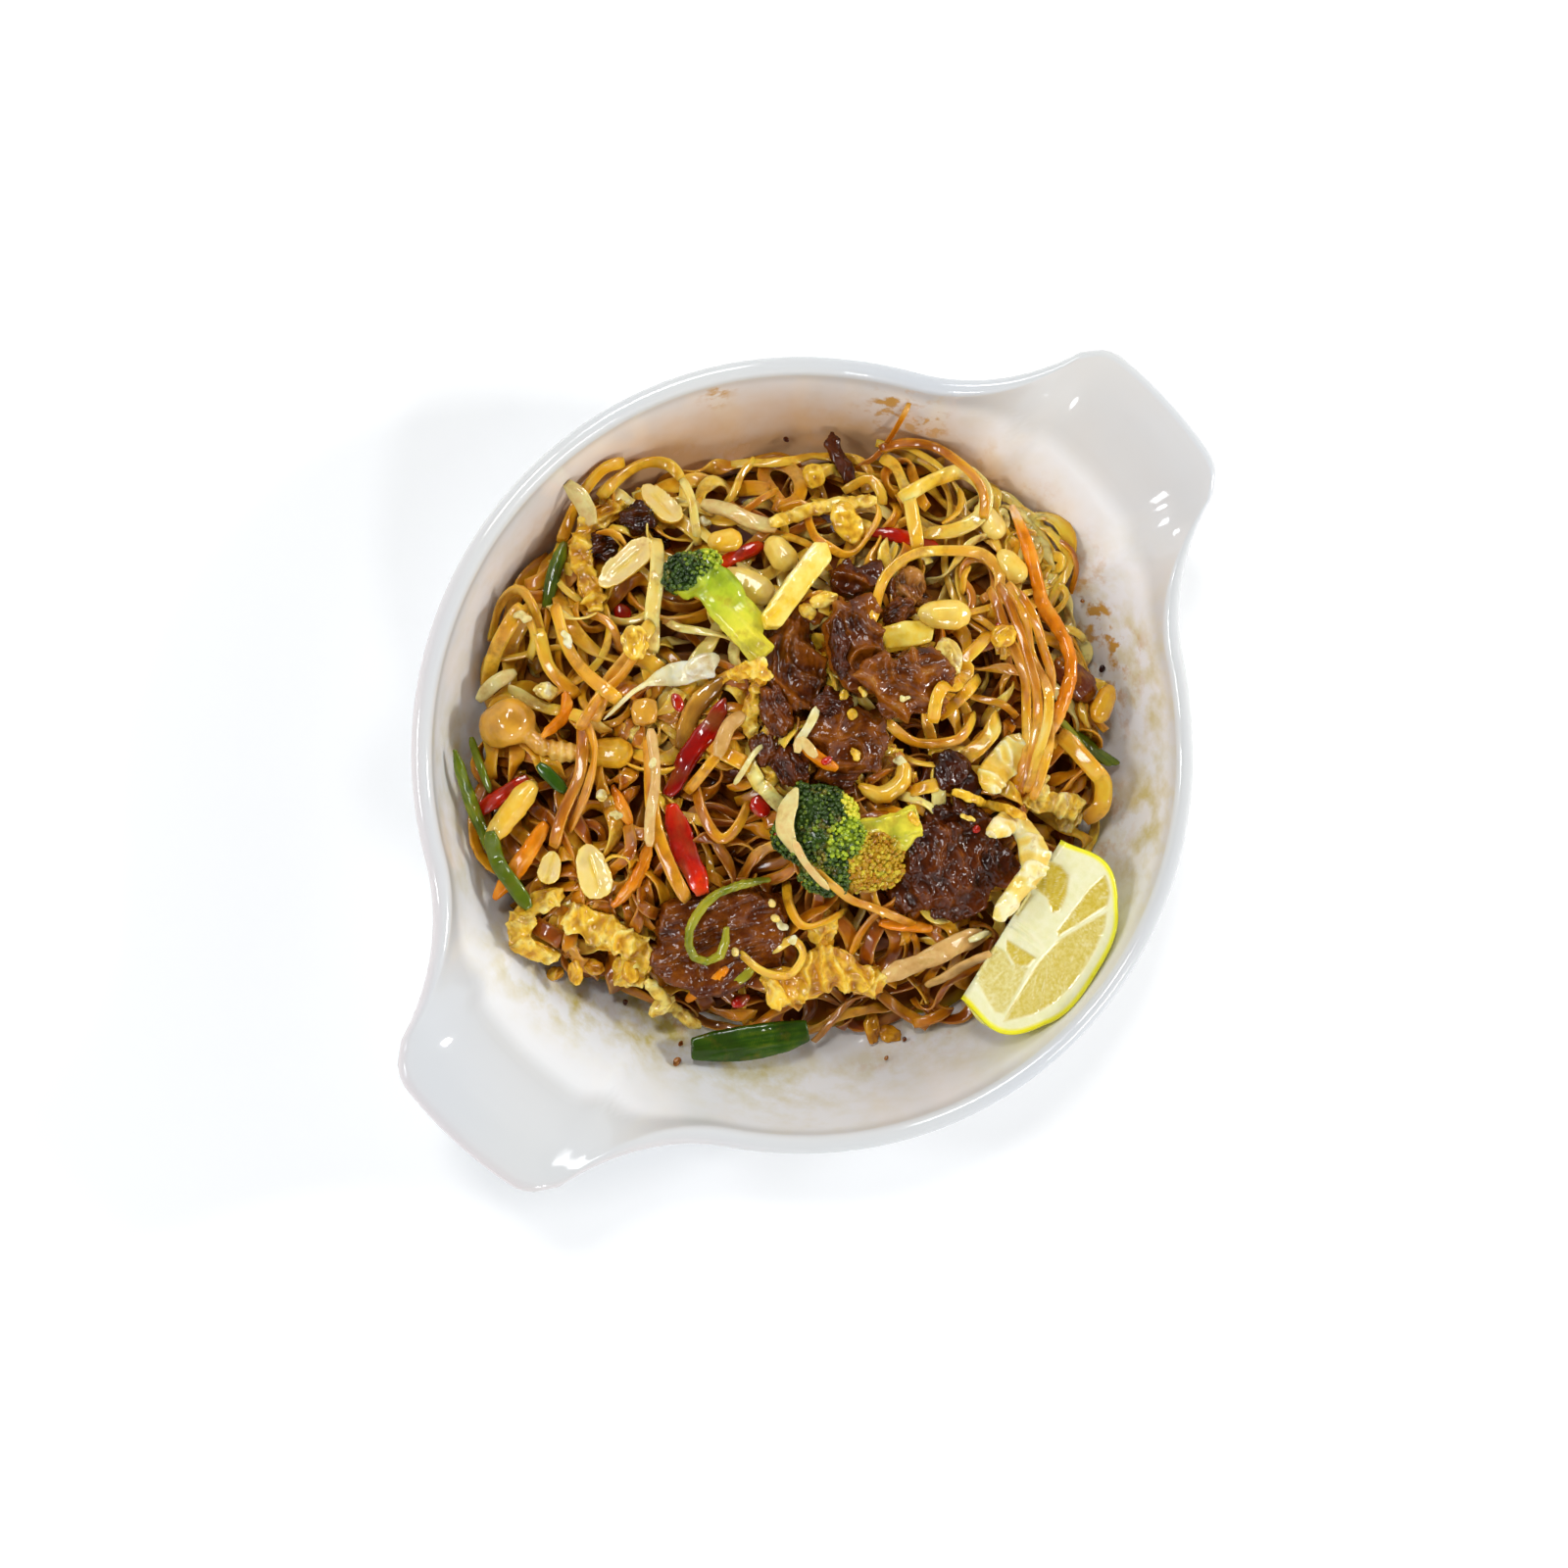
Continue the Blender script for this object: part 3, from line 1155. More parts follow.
def build_beef(table):
    """Browned slices with scraps and flecks of them, and the dark slices beside them."""
    look = food_look("browned_beef", ((0.0, (0.026, 0.004, 0.0005)),
                                      (0.35, (0.11, 0.020, 0.001)), (0.65, (0.28, 0.075, 0.003)),
                                      (1.0, (0.54, 0.25, 0.05))),
                     sauce=0.06, sauce_colour=(0.06, 0.009, 0.001), rough=0.30, coat=0.36,
                     strength=0.7, depth=0.5, hollow=(0.010, 0.002, 0.0005), hollow_part=0.9)
    # Lumps on each slice: place, half sizes, turn, rise.
    lumps = {"beef_1": (((0, 39), (5, 4, 2.2), 20, 0.6), ((-5, 12), (5, 5, 2.2), 60, 0)),
             "beef_2": (((9, 37), (6, 4.5, 2.4), 10, 0.6), ((9, 20), (5, 5, 2.2), 0, 0)),
             "beef_3": (((14, 20), (6, 6, 2.4), 20, 0), ((19, 13), (7, 4.5, 2.4), 10, 0),
                        ((30, 21), (5, 4, 2.2), 0, 0)),
             "beef_4": (((12, 5), (6, 5, 2.6), 0, 0), ((6, -5), (6, 4.5, 2.4), 0, -0.5)),
             "beef_5": (((15, 47), (5.5, 4.5, 2.5), 0, 0), ((20, 43), (4.5, 4, 2.2), 0, 0)),
             "beef_6": (((32, -17), (8, 5, 3), 60, 0.5), ((42, -20), (8, 6, 3), 120, 0.5),
                        ((30, -8), (8, 2.6, 2.5), 80, 0), ((50, -30), (6, 6, 3), 0, 0),
                        ((40, -40), (9, 4, 2.6), 20, -0.5), ((25, -36), (5, 7, 2.6), 0, -0.5)),
             "beef_7": (((-36, -56), (8, 5, 2.2), 150, -0.5), ((-12, -41), (7, 5, 2.2), 0, 0),
                        ((-24, -58), (10, 6, 2.2), 20, -0.5))}
    tones = dict(zip(numbered("beef", *range(1, 8)), (0.52, 0.52, 0.55, 0.45, 0.35, 0.25, 0.42)))
    slice_skin = Skin(lumps=(6.5, 0.8), fibres=(1.5, 0.5), grain=(0.7, 0.28), long=8.0)
    parts = simple_parts(slice_skin, 0.5, 1, tones, paint_beef, lumps)
    scrap_skin = Skin(lumps=(3.0, 1.3), fibres=(1.2, 0.7), grain=(0.6, 0.25))
    scraps = (((-12, 11), (4, 8, 2.2), 20, 0.4), ((-8, -3), (4.5, 6, 2.4), 30, 0.3),
              ((-14, 1), (4, 5, 2), 0, 0.35), ((26, 45), (4, 5, 2.4), 20, 0.8),
              ((31, 42), (3.5, 4, 2), 60, 0.7), ((22, 38), (5, 3.4, 2), 30, 0.45),
              ((3, 13), (5, 4, 1.8), 0, 0.25), ((4, 27), (2.4, 8, 1.8), 5, 0.15),
              ((-55, 55), (5, 4, 2.2), 20, 0.12), ((-46, 62), (5, 4, 2.2), 0, 0.05),
              ((-41, 57), (4, 4, 2.2), 0, 0.1))
    for place, size, turn, tone in scraps:
        parts.append(nugget(table, place, size, turn, tone, scrap_skin, 0.45, 5, -0.6))
    fleck_skin = Skin(lumps=(1.0, 0.2), grain=(0.5, 0.05))
    flecks = ((86.5, 25.0, 1.1, 0.0), (-4.4, 87.5, 0.9, 0.3), (-34.6, -82.5, 1.3, 0.8),
              (-48.0, -67.0, 0.9, 0.3), (-33.0, -78.5, 0.8, 0.7), (24.0, -84.0, 0.7, 0.7),
              (80.0, 44.0, 0.7, 0.8), (30.0, -79.5, 0.8, 0.5))
    for x, y, size, tone in flecks:
        parts.append(nugget(table, (x, y), (size, size * 0.8, size * 0.5), x * 9.0, tone,
                            fleck_skin, 0.4, 3))
    settle(gather(parts), "beef_pieces", look, list(tones))
    dark_skin = Skin(lumps=(5.0, 0.8), fibres=(1.6, 0.6), grain=(0.8, 0.15))
    dark_tones = {"mushroom_slice_1": 0.15, "mushroom_slice_2": 0.12}
    dark = simple_parts(dark_skin, 0.5, 1, dark_tones, paint_dark_slice,
                        {"mushroom_slice_2": (((36, -4), (5, 6, 3), 0, 0.5),)})
    settle(gather(dark), "dark_mushroom", look, list(dark_tones))


# Broccoli heads: place on the plan, reach, tone of the buds.
HEADS = {"broccoli_1": (((-37, 46), 4.6, 0.08), ((-33, 49), 4.2, 0.18), ((-29, 50), 2.8, 0.36)),
         "broccoli_2": (((-2, -13), 9.0, 0.10), ((-6, -22), 7.0, 0.12), ((1, -32), 6.5, 0.14),
                        ((5, -22), 6.0, 0.3), ((14, -29), 8.5, 0.78), ((8, -13), 4.5, 0.5))}
# Where each stem starts under its head, and where it ends.
STEMS = {"broccoli_1": ((-32, 48), (-8, 24)), "broccoli_2": ((0, -20), (28, -14))}
BUD_GAP, BUD_LOT = 1.05, 150  # mm between buds, and how many are shaped at once


def head_at(node, spot):
    """How far into a head of buds a place is, and that head's tone."""
    x, y = plan(spot)
    return max((1.0 - math.hypot(x - px, y - py) / reach, tone)
               for (px, py), reach, tone in HEADS[node])


def paint_broccoli(node, corner, local, ways, lump):
    """Lumpy under the buds, ribbed and paler towards the stem's cut end."""
    into, tone = head_at(node, corner.co)
    if into > 0.0:
        return tone - 0.5 + 0.1 * lump, 0.9 * noise.noise(corner.co / 3.2) + 0.5
    root, end = (Vector((*seat(*place), 0.0)) for place in STEMS[node])
    span = (end - root).length
    stem = (end - root) / span
    part = (corner.co - root).dot(stem) / span
    aside = (corner.co - root).dot(Vector((-stem.y, stem.x, 0.0)))
    line = ridge(Vector((aside * 0.9, part * 2.0, 0.0)))
    if node == "broccoli_1":
        shade = 0.42 + 0.24 * smoothstep(part, 0.0, 0.9) + 0.10 * smoothstep(part, 0.9, 1.05)
        change = shade - 0.5 - 0.008 * aside + 0.04 * (line - 0.6) - 0.12 * lump
    else:
        tip = smoothstep(part, 0.86, 1.0)
        change = 0.10 + 0.08 * part + 0.22 * tip + 0.06 * (line - 0.6) - 0.08 * lump
    return change, 0.2 * (line - 0.5)


def bud_places(rng, node, part):
    """Evenly scattered places on a head, with their outward way and tone."""
    part.normal_update()
    corners = [corner for corner in part.verts
               if corner.normal.z > -0.3 and head_at(node, corner.co)[0] > 0.02]
    rng.shuffle(corners)
    taken = {}
    for corner in corners:
        taken.setdefault(tuple(int(value // BUD_GAP) for value in corner.co), corner)
    return [(corner.co.copy(), corner.normal.copy(), head_at(node, corner.co)[1])
            for corner in taken.values()]


def build_broccoli():
    """Two florets under a skin of buds."""
    look = food_look("broccoli_green", ((0.0, (0.008, 0.022, 0.003)),
                                        (0.25, (0.05, 0.10, 0.008)), (0.44, (0.40, 0.52, 0.02)),
                                        (0.66, (0.86, 0.76, 0.06)), (0.8, (0.52, 0.32, 0.010)),
                                        (1.0, (0.42, 0.15, 0.005))),
                     sauce=0.0, sauce_colour=(0.4, 0.2, 0.02), rough=0.34, coat=0.4, mottle=0.03,
                     hollow=(0.02, 0.03, 0.003), hollow_part=0.5)
    lumps = {"broccoli_2": (((14, -29), (7, 6, 4), 0, 0), ((21, -24), (6, 2.6, 2.4), 40, 0),
                            ((1, -30), (6, 6, 4), 0, 0), ((-6, -21), (6, 6, 4), 0, 0)),
             "broccoli_1": (((-30, 48), (4, 3.4, 3), 0, 0), ((-35, 44), (3.4, 4, 3), 0, 0),
                            ((-26, 42), (8, 5.5, 3), -50, 0.3),
                            ((-20, 35), (7, 4.6, 3), -52, 0.3))}
    rng = random.Random(3)
    parts = simple_parts(Skin(lumps=(4.0, 0.4), grain=(0.8, 0.1)), 0.6, 3,
                         {"broccoli_1": 0.5, "broccoli_2": 0.5}, paint_broccoli, lumps)
    buds = []
    for node, part in zip(("broccoli_1", "broccoli_2"), parts):
        places = bud_places(rng, node, part)
        for first in range(0, len(places), BUD_LOT):
            bm = bmesh.new()
            tones, reliefs = layer(bm, "tone"), layer(bm, "relief")
            for spot, normal, tone in places[first:first + BUD_LOT]:
                radius = rng.uniform(0.5, 0.8)
                shade = tone + rng.uniform(-0.10, 0.16)
                move = Matrix.Translation(spot + normal * 0.35)
                bud = bmesh.ops.create_icosphere(bm, subdivisions=1, radius=radius, matrix=move)
                for corner in bud["verts"]:
                    corner[tones] = shade + 0.05 * (corner.co - spot).dot(normal)
                    corner[reliefs] = 0.3
            buds.append(bm)
    settle(gather(parts + buds), "broccoli_pieces", look, list(HEADS))


SPLIT_NUTS = numbered("peanut", 1, 2, 11, 12)  # halves with the cut face up


def paint_nut(node, corner, local, ways, lump):
    """A groove and two shallow dishes on a cut face, darker round its edge."""
    first, second, third = ways
    third = third if third.z > 0 else -third
    if node not in SPLIT_NUTS:
        return 0.12 * abs(local.dot(second)) / 4.0, 0.0
    flat = smoothstep(corner.normal.dot(third), 0.55, 0.9)
    across, along = local.dot(second), local.dot(first)
    groove = math.exp(-(across / 0.55) ** 2) * smoothstep(6.0 - abs(along), 0.0, 3.0) * flat
    hollow = 0.35 * math.exp(-((abs(across) - 1.7) / 0.9) ** 2) * flat
    return 0.45 * (1.0 - flat) + 0.22 * groove, -0.45 * groove - 0.25 * hollow


def build_nuts(table):
    """Whole and split peanuts with a few crumbs, and the one in its red skin."""
    look = food_look("roasted_peanut", ((0.0, (0.90, 0.72, 0.34)), (0.3, (0.90, 0.66, 0.13)),
                                        (0.55, (0.84, 0.46, 0.02)), (0.8, (0.55, 0.20, 0.006)),
                                        (1.0, (0.17, 0.03, 0.004))),
                     sauce=-0.08, sauce_colour=(0.55, 0.20, 0.01), blot=4.0, rough=0.3, coat=0.6,
                     glow=0.2, strength=0.1, depth=0.2, mottle=0.08, hollow=(0.60, 0.30, 0.02),
                     hollow_part=0.4)
    tones = dict(zip(numbered("peanut", *range(1, 13), 14, 15, 16),
                     (0.1, 0.15, 0.45, 0.2, 0.25, 0.2, 0.32, 0.3, 0.5, 0.4, 0.15, 0.15,
                      0.6, 0.58, 0.45)))
    parts = simple_parts(Skin(lumps=(4.0, 0.22), grain=(0.7, 0.04)), 0.42, 6, tones, paint_nut,
                         raised=dict.fromkeys(tones, 0.8))
    for place in ((-12, -39), (-11, -43), (-21, -52), (33, 44), (-65, 29), (57, 40)):
        parts.append(nugget(table, place, (1.3, 1.0, 0.8), place[0] * 20.0, 0.2, detail=3))
    settle(gather(parts), "peanut_pieces", look, list(tones))
    papery = Skin(lumps=(4.0, 0.25), fibres=(1.0, 0.08), grain=(0.7, 0.05))
    red = simple_parts(papery, 0.42, 5, {"peanut_13": 0.98})
    settle(gather(red), "peanut_in_skin", look, ["peanut_13"])


def paint_carrot(node, corner, local, ways, lump):
    """The long shred is paler and drier at both ends."""
    if node != "carrot_1":
        return 0.0, 0.15
    y = plan(corner.co)[1]
    return 0.45 * smoothstep(y, 60.0, 66.0) + 0.45 * smoothstep(-y, -16.0, -4.0), 0.45


def paint_pepper(node, corner, local, ways, lump):
    """The middle strip is brighter at both ends."""
    if node != "red_pepper_3":
        return 0.0, 0.0
    y = plan(corner.co)[1]
    return 0.25 * smoothstep(y, -20.0, -13.0) + 0.28 * smoothstep(-y, 26.0, 36.0), 0.0


def build_carrot(table):
    """Soft shreds and two chips."""
    look = food_look("soft_carrot", ((0.0, (0.50, 0.10, 0.002)), (0.5, (0.84, 0.25, 0.003)),
                                     (0.8, (0.88, 0.42, 0.05)), (1.0, (0.86, 0.60, 0.36))),
                     sauce=0.04, sauce_colour=(0.4, 0.1, 0.005), rough=0.3, coat=0.4, glow=0.1,
                     hollow=(0.35, 0.08, 0.003))
    tones = dict.fromkeys(numbered("carrot", *range(1, 7)), 0.5)
    skin = Skin(lumps=(6.0, 0.3), fibres=(1.2, 0.16), grain=(0.7, 0.05))
    parts = simple_parts(skin, 0.5, 3, tones, paint_carrot,
                         raised={"carrot_1": 2.5, "carrot_6": 1.5})
    chip_skin = Skin(lumps=(4.0, 0.2), fibres=(1.2, 0.1), grain=(0.7, 0.05))
    chips = ((((-5, 2), (0, -2), (4, -4)), 3.2), (((-23, -56), (-28, -61), (-32, -66)), 2.6))
    for points, wide in chips:
        strand = lay(table, points, wide, 1.8, lift=0.6, stride=0.7)
        parts.append(chip_skin.roughen(tube(strand, 1), 5, 0.5))
    settle(gather(parts), "carrot_pieces", look, list(tones))


def build_pepper(table):
    """Strips and small chips of red pepper."""
    look = food_look("red_pepper", ((0.0, (0.12, 0.002, 0.001)), (0.4, (0.34, 0.004, 0.001)),
                                    (0.7, (0.74, 0.022, 0.002)), (1.0, (0.88, 0.14, 0.006))),
                     sauce=0.0, sauce_colour=(0.2, 0.02, 0.002), rough=0.22, coat=0.7, glow=0.08,
                     mottle=0.08)
    tones = dict(zip(numbered("red_pepper", *range(1, 6)), (0.32, 0.62, 0.45, 0.72, 0.5)))
    skin = Skin(lumps=(6.0, 0.7), fibres=(1.5, 0.06), grain=(0.8, 0.04))
    parts = simple_parts(skin, 0.5, 4, tones, paint_pepper)
    chips = (((-50, 37), (2.2, 3.0, 1.0)), ((-18, -66), (2.6, 1.6, 1.0)),
             ((-37, 13), (1.6, 2.6, 0.8)), ((-10, -22), (2.2, 3.2, 1.0)),
             ((43, -20), (1.2, 1.0, 0.6)), ((-15, -14), (2.5, 3.0, 1.0)),
             ((1, -2), (1.5, 1.1, 0.7)), ((51, 34), (1.4, 2.2, 0.8)))
    for place, size in chips:
        parts.append(nugget(table, place, size, 30.0, 0.45, detail=3))
    settle(gather(parts), "pepper_pieces", look, list(tones))


def paint_leaf(node, corner, local, ways, lump):
    """Fine ribs along the leaf."""
    line = ridge(Vector((local.dot(ways[1]) * 1.1, local.dot(ways[0]) * 0.04, 0.0)))
    return 0.12 * (line - 0.6), 0.1 * (line - 0.6)


def build_greens(table):
    """Spring onion leaves, the curl and thin strips."""
    look = food_look("spring_onion_green", ((0.0, (0.006, 0.020, 0.001)),
                                            (0.25, (0.030, 0.085, 0.003)),
                                            (0.5, (0.17, 0.22, 0.008)),
                                            (0.75, (0.38, 0.34, 0.02)), (1.0, (0.72, 0.66, 0.24))),
                     sauce=0.0, sauce_colour=(0.15, 0.1, 0.01), rough=0.26, coat=0.5, glow=0.1,
                     mottle=0.05, hollow=(0.03, 0.04, 0.002))
    tones = dict(zip(numbered("spring_onion", *range(1, 5)) + ["onion_ring"],
                     (0.26, 0.48, 0.42, 0.45, 0.66)))
    parts = simple_parts(Skin(lumps=(7.0, 0.3), grain=(0.8, 0.04)), 0.45, 3, tones, paint_leaf)
    strips = ((((-89, 4), (-87, -2), (-84, -10)), 2.0, 1.6, 0.5),
              (((-84, -20), (-82, -28), (-78, -34), (-74, -40)), 4.0, 1.4, 0.42),
              (((-72, -3), (-69, -6), (-65, -10)), 3.6, 1.6, 0.25),
              (((-16, -56), (-19, -59), (-24, -61)), 2.6, 1.2, 0.7),
              (((70, 10), (76, 3), (80, -6)), 2.2, 1.2, 0.62))
    for points, wide, thick, tone in strips:
        strand = lay(table, points, wide, thick, tone=tone, lift=0.3, stride=0.8)
        parts.append(tube(strand, 2))
    settle(gather(parts), "spring_onion_pieces", look, list(tones))


def paint_mushroom(node, corner, local, ways, lump):
    """Rings along the whole one's stem and darker edges on the pale slice."""
    if node == "mushroom":
        x = plan(corner.co)[0]
        stem = smoothstep(x, -74.0, -71.0)
        ring = math.sin(math.tau * x / 2.3)
        return stem * (0.10 + 0.07 * ring) - 0.05, 0.22 * stem * ring - 0.5 * (1.0 - stem)
    if node == "mushroom_slice_3":
        return 0.25 * smoothstep(abs(local.dot(ways[1])), 1.8, 3.0), 0.0
    return 0.0, 0.0


def build_mushrooms():
    """The whole mushroom, the pale slice and the browned cube."""
    look = food_look("mushroom_flesh", ((0.0, (0.05, 0.012, 0.003)), (0.35, (0.22, 0.09, 0.012)),
                                        (0.65, (0.72, 0.35, 0.03)), (1.0, (0.86, 0.60, 0.16))),
                     sauce=-0.1, sauce_colour=(0.45, 0.16, 0.01), rough=0.28, coat=0.7, glow=0.2,
                     mottle=0.05, hollow=(0.3, 0.11, 0.01))
    tones = {"mushroom": 0.68, "mushroom_slice_3": 0.5, "tofu_cube": 0.62}
    lumps = {"mushroom": (((-79, 8), (6.8, 6.8, 6.0), 0, 0.5),
                          ((-72, 2), (4, 2.6, 2.4), -25, 1.5),
                          ((-66, 0), (4, 2.5, 2.4), -8, 1.5), ((-61, 0), (3.6, 2.5, 2.2), 5, 1.5))}
    parts = simple_parts(Skin(lumps=(6.0, 0.25), grain=(0.8, 0.05)), 0.5, 6, tones,
                         paint_mushroom, lumps, {"tofu_cube": 1.0})
    settle(gather(parts), "mushroom_pieces", look, list(tones))


EGG_WHITES = {"egg_6": 0.84, "egg_8": 0.74}  # with their tones


def paint_egg(node, corner, local, ways, lump):
    """Ruffles across each piece, browned at their crests and dark in between."""
    warp = noise.noise(corner.co / 6.0) * 3.0
    ruffle = Vector((local.dot(ways[0]) + warp, (local.dot(ways[1]) + warp) * 0.45, local.z * 0.6))
    fold = crests(ruffle + Vector((7.0, 2.0, 5.0)), 4.4)
    fine = crests(corner.co, 2.4)
    if node in EGG_WHITES:
        return 0.5 * fold, 1.1 * fold * smoothstep(corner.normal.z, -0.2, 0.7)
    rim = smoothstep(fold, 0.42, 0.55)
    patch = 0.0
    if node == "egg_4":
        x, y = plan(corner.co)
        patch = smoothstep(4.5 - math.hypot(x + 53, y + 41), 0.0, 2.0)
    upward = smoothstep(corner.normal.z, -0.3, 0.7)
    return (0.34 * fold + 0.12 * fine - 0.22 * rim - 0.12 * patch,
            (2.0 * fold + 0.4 * fine) * upward - 0.3)


def build_egg(table):
    """Ruffled omelette with crumbs and strips of it, and the smooth whites."""
    look = food_look("fried_egg", ((0.0, (0.24, 0.06, 0.002)), (0.3, (0.66, 0.28, 0.006)),
                                   (0.55, (0.90, 0.56, 0.035)), (0.8, (0.94, 0.76, 0.20)),
                                   (1.0, (0.94, 0.88, 0.58))),
                     sauce=0.04, sauce_colour=(0.40, 0.13, 0.004), blot=2.6, rough=0.36, coat=0.5,
                     glow=0.15, strength=0.4, depth=0.3, hollow=(0.30, 0.085, 0.002),
                     hollow_part=1.0)
    white = food_look("egg_white", ((0.0, (0.52, 0.19, 0.004)), (0.5, (0.82, 0.50, 0.04)),
                                    (0.8, (0.88, 0.70, 0.18)), (1.0, (0.90, 0.82, 0.46))),
                      sauce=-0.04, sauce_colour=(0.6, 0.3, 0.02), blot=3.0, rough=0.28, coat=0.6,
                      glow=0.2, strength=0.15, depth=0.3, hollow=(0.66, 0.36, 0.03),
                      hollow_part=0.85)
    tones = dict(zip(numbered("egg", 1, 2, 3, 4, 5, 7), (0.5, 0.52, 0.56, 0.62, 0.5, 0.68)))
    lumps = {"egg_5": (((3, -46), (5, 4, 3), 60, 0), ((-8, -60), (6, 4, 2.4), 0, 0)),
             "egg_7": (((75, -14), (5, 4, 2.6), 0, 0),)}
    ruffled = Skin(lumps=(4.6, 0.5), fibres=(2.2, 0.45), grain=(0.7, 0.10), turn=0.9, long=2.2)
    parts = simple_parts(ruffled, 0.45, 1, tones, paint_egg, lumps, dict.fromkeys(tones, 0.6))
    pale = simple_parts(Skin(lumps=(6.0, 0.4), grain=(1.0, 0.04)), 0.45, 3, EGG_WHITES, paint_egg,
                        raised=dict.fromkeys(EGG_WHITES, 1.0))
    settle(gather(pale), "egg_white_pieces", white, list(EGG_WHITES))
    lace = Skin(lumps=(2.0, 0.5), fibres=(1.2, 0.35), grain=(0.7, 0.12))
    bits = (((9, 62), (6, 4, 1.6), 0.5), ((36, 26), (5.5, 3.6, 2.0), 0.8),
            ((51, 32), (3, 3.6, 1.6), 0.45), ((26, 46), (2.2, 1.6, 1.2), 0.4),
            ((-48, 28), (4.5, 3.5, 1.8), 0.6), ((6, 15), (1.7, 1.2, 0.8), 0.55),
            ((10, 16), (1.5, 1.0, 0.8), 0.6), ((8, 10), (1.4, 1.4, 0.8), 0.5),
            ((9, 0), (1.8, 1.1, 0.8), 0.5), ((-12, 9), (1.2, 3.0, 0.8), 0.5),
            ((-67, -58), (2.4, 1.8, 1.2), 0.35), ((-62, -57), (3.4, 2.0, 1.6), 0.4),
            ((-57, -56), (2.6, 2.0, 1.4), 0.35), ((-70, 16), (3.2, 2.2, 0.9), 0.8),
            ((1, 40), (3.8, 2.0, 1.4), 0.6), ((-3, 37), (2.6, 1.8, 1.2), 0.62),
            ((2, 76), (3.2, 3.4, 1.6), 0.5), ((24, -17), (2.2, 1.2, 0.7), 0.5),
            ((21, -76), (4.6, 2.2, 1.0), 0.25), ((26, -78), (3.4, 2.4, 1.2), 0.2),
            ((-39, -67), (4.0, 2.2, 1.2), 0.7), ((-31, -72), (3.6, 2.0, 1.0), 0.75),
            ((-48, -57), (3.0, 2.4, 1.2), 0.4), ((40, -17), (2.0, 0.8, 0.5), 0.6),
            ((-56, -11), (1.5, 1.5, 0.9), 0.85))
    for place, size, tone in bits:
        parts.append(nugget(table, place, size, place[0] * 13.0, tone, lace))
    strips = ((((-12, 61), (-4, 64), (6, 67), (17, 68)), 3.6, 0.62),
              (((36, -10), (42, -12), (50, -14), (57, -17)), 2.2, 0.5),
              (((-44, -59), (-36, -68), (-28, -74)), 3.4, 0.7))
    for points, wide, tone in strips:
        strand = lay(table, points, wide, 1.8, 10, tone, 0.5, stride=0.5)
        parts.append(lace.roughen(tube(strand, 3), 4, tone))
    settle(gather(parts), "egg_pieces", look, list(tones))


def paint_pale(node, corner, local, ways, lump):
    """Warmer towards one end, and paler on the wedge's top."""
    x, y = plan(corner.co)
    if node == "bamboo_shoot":
        return 0.1 - 0.36 * smoothstep(x - y, -57.0, -50.0) - 0.3 * smoothstep(y, 52.0, 57.0), 0.0
    if node == "pineapple_wedge":
        return 0.16 * smoothstep(corner.normal.z, 0.3, 0.9), 0.0
    return -0.25 * smoothstep(-x, 32.0, 45.0), 0.0


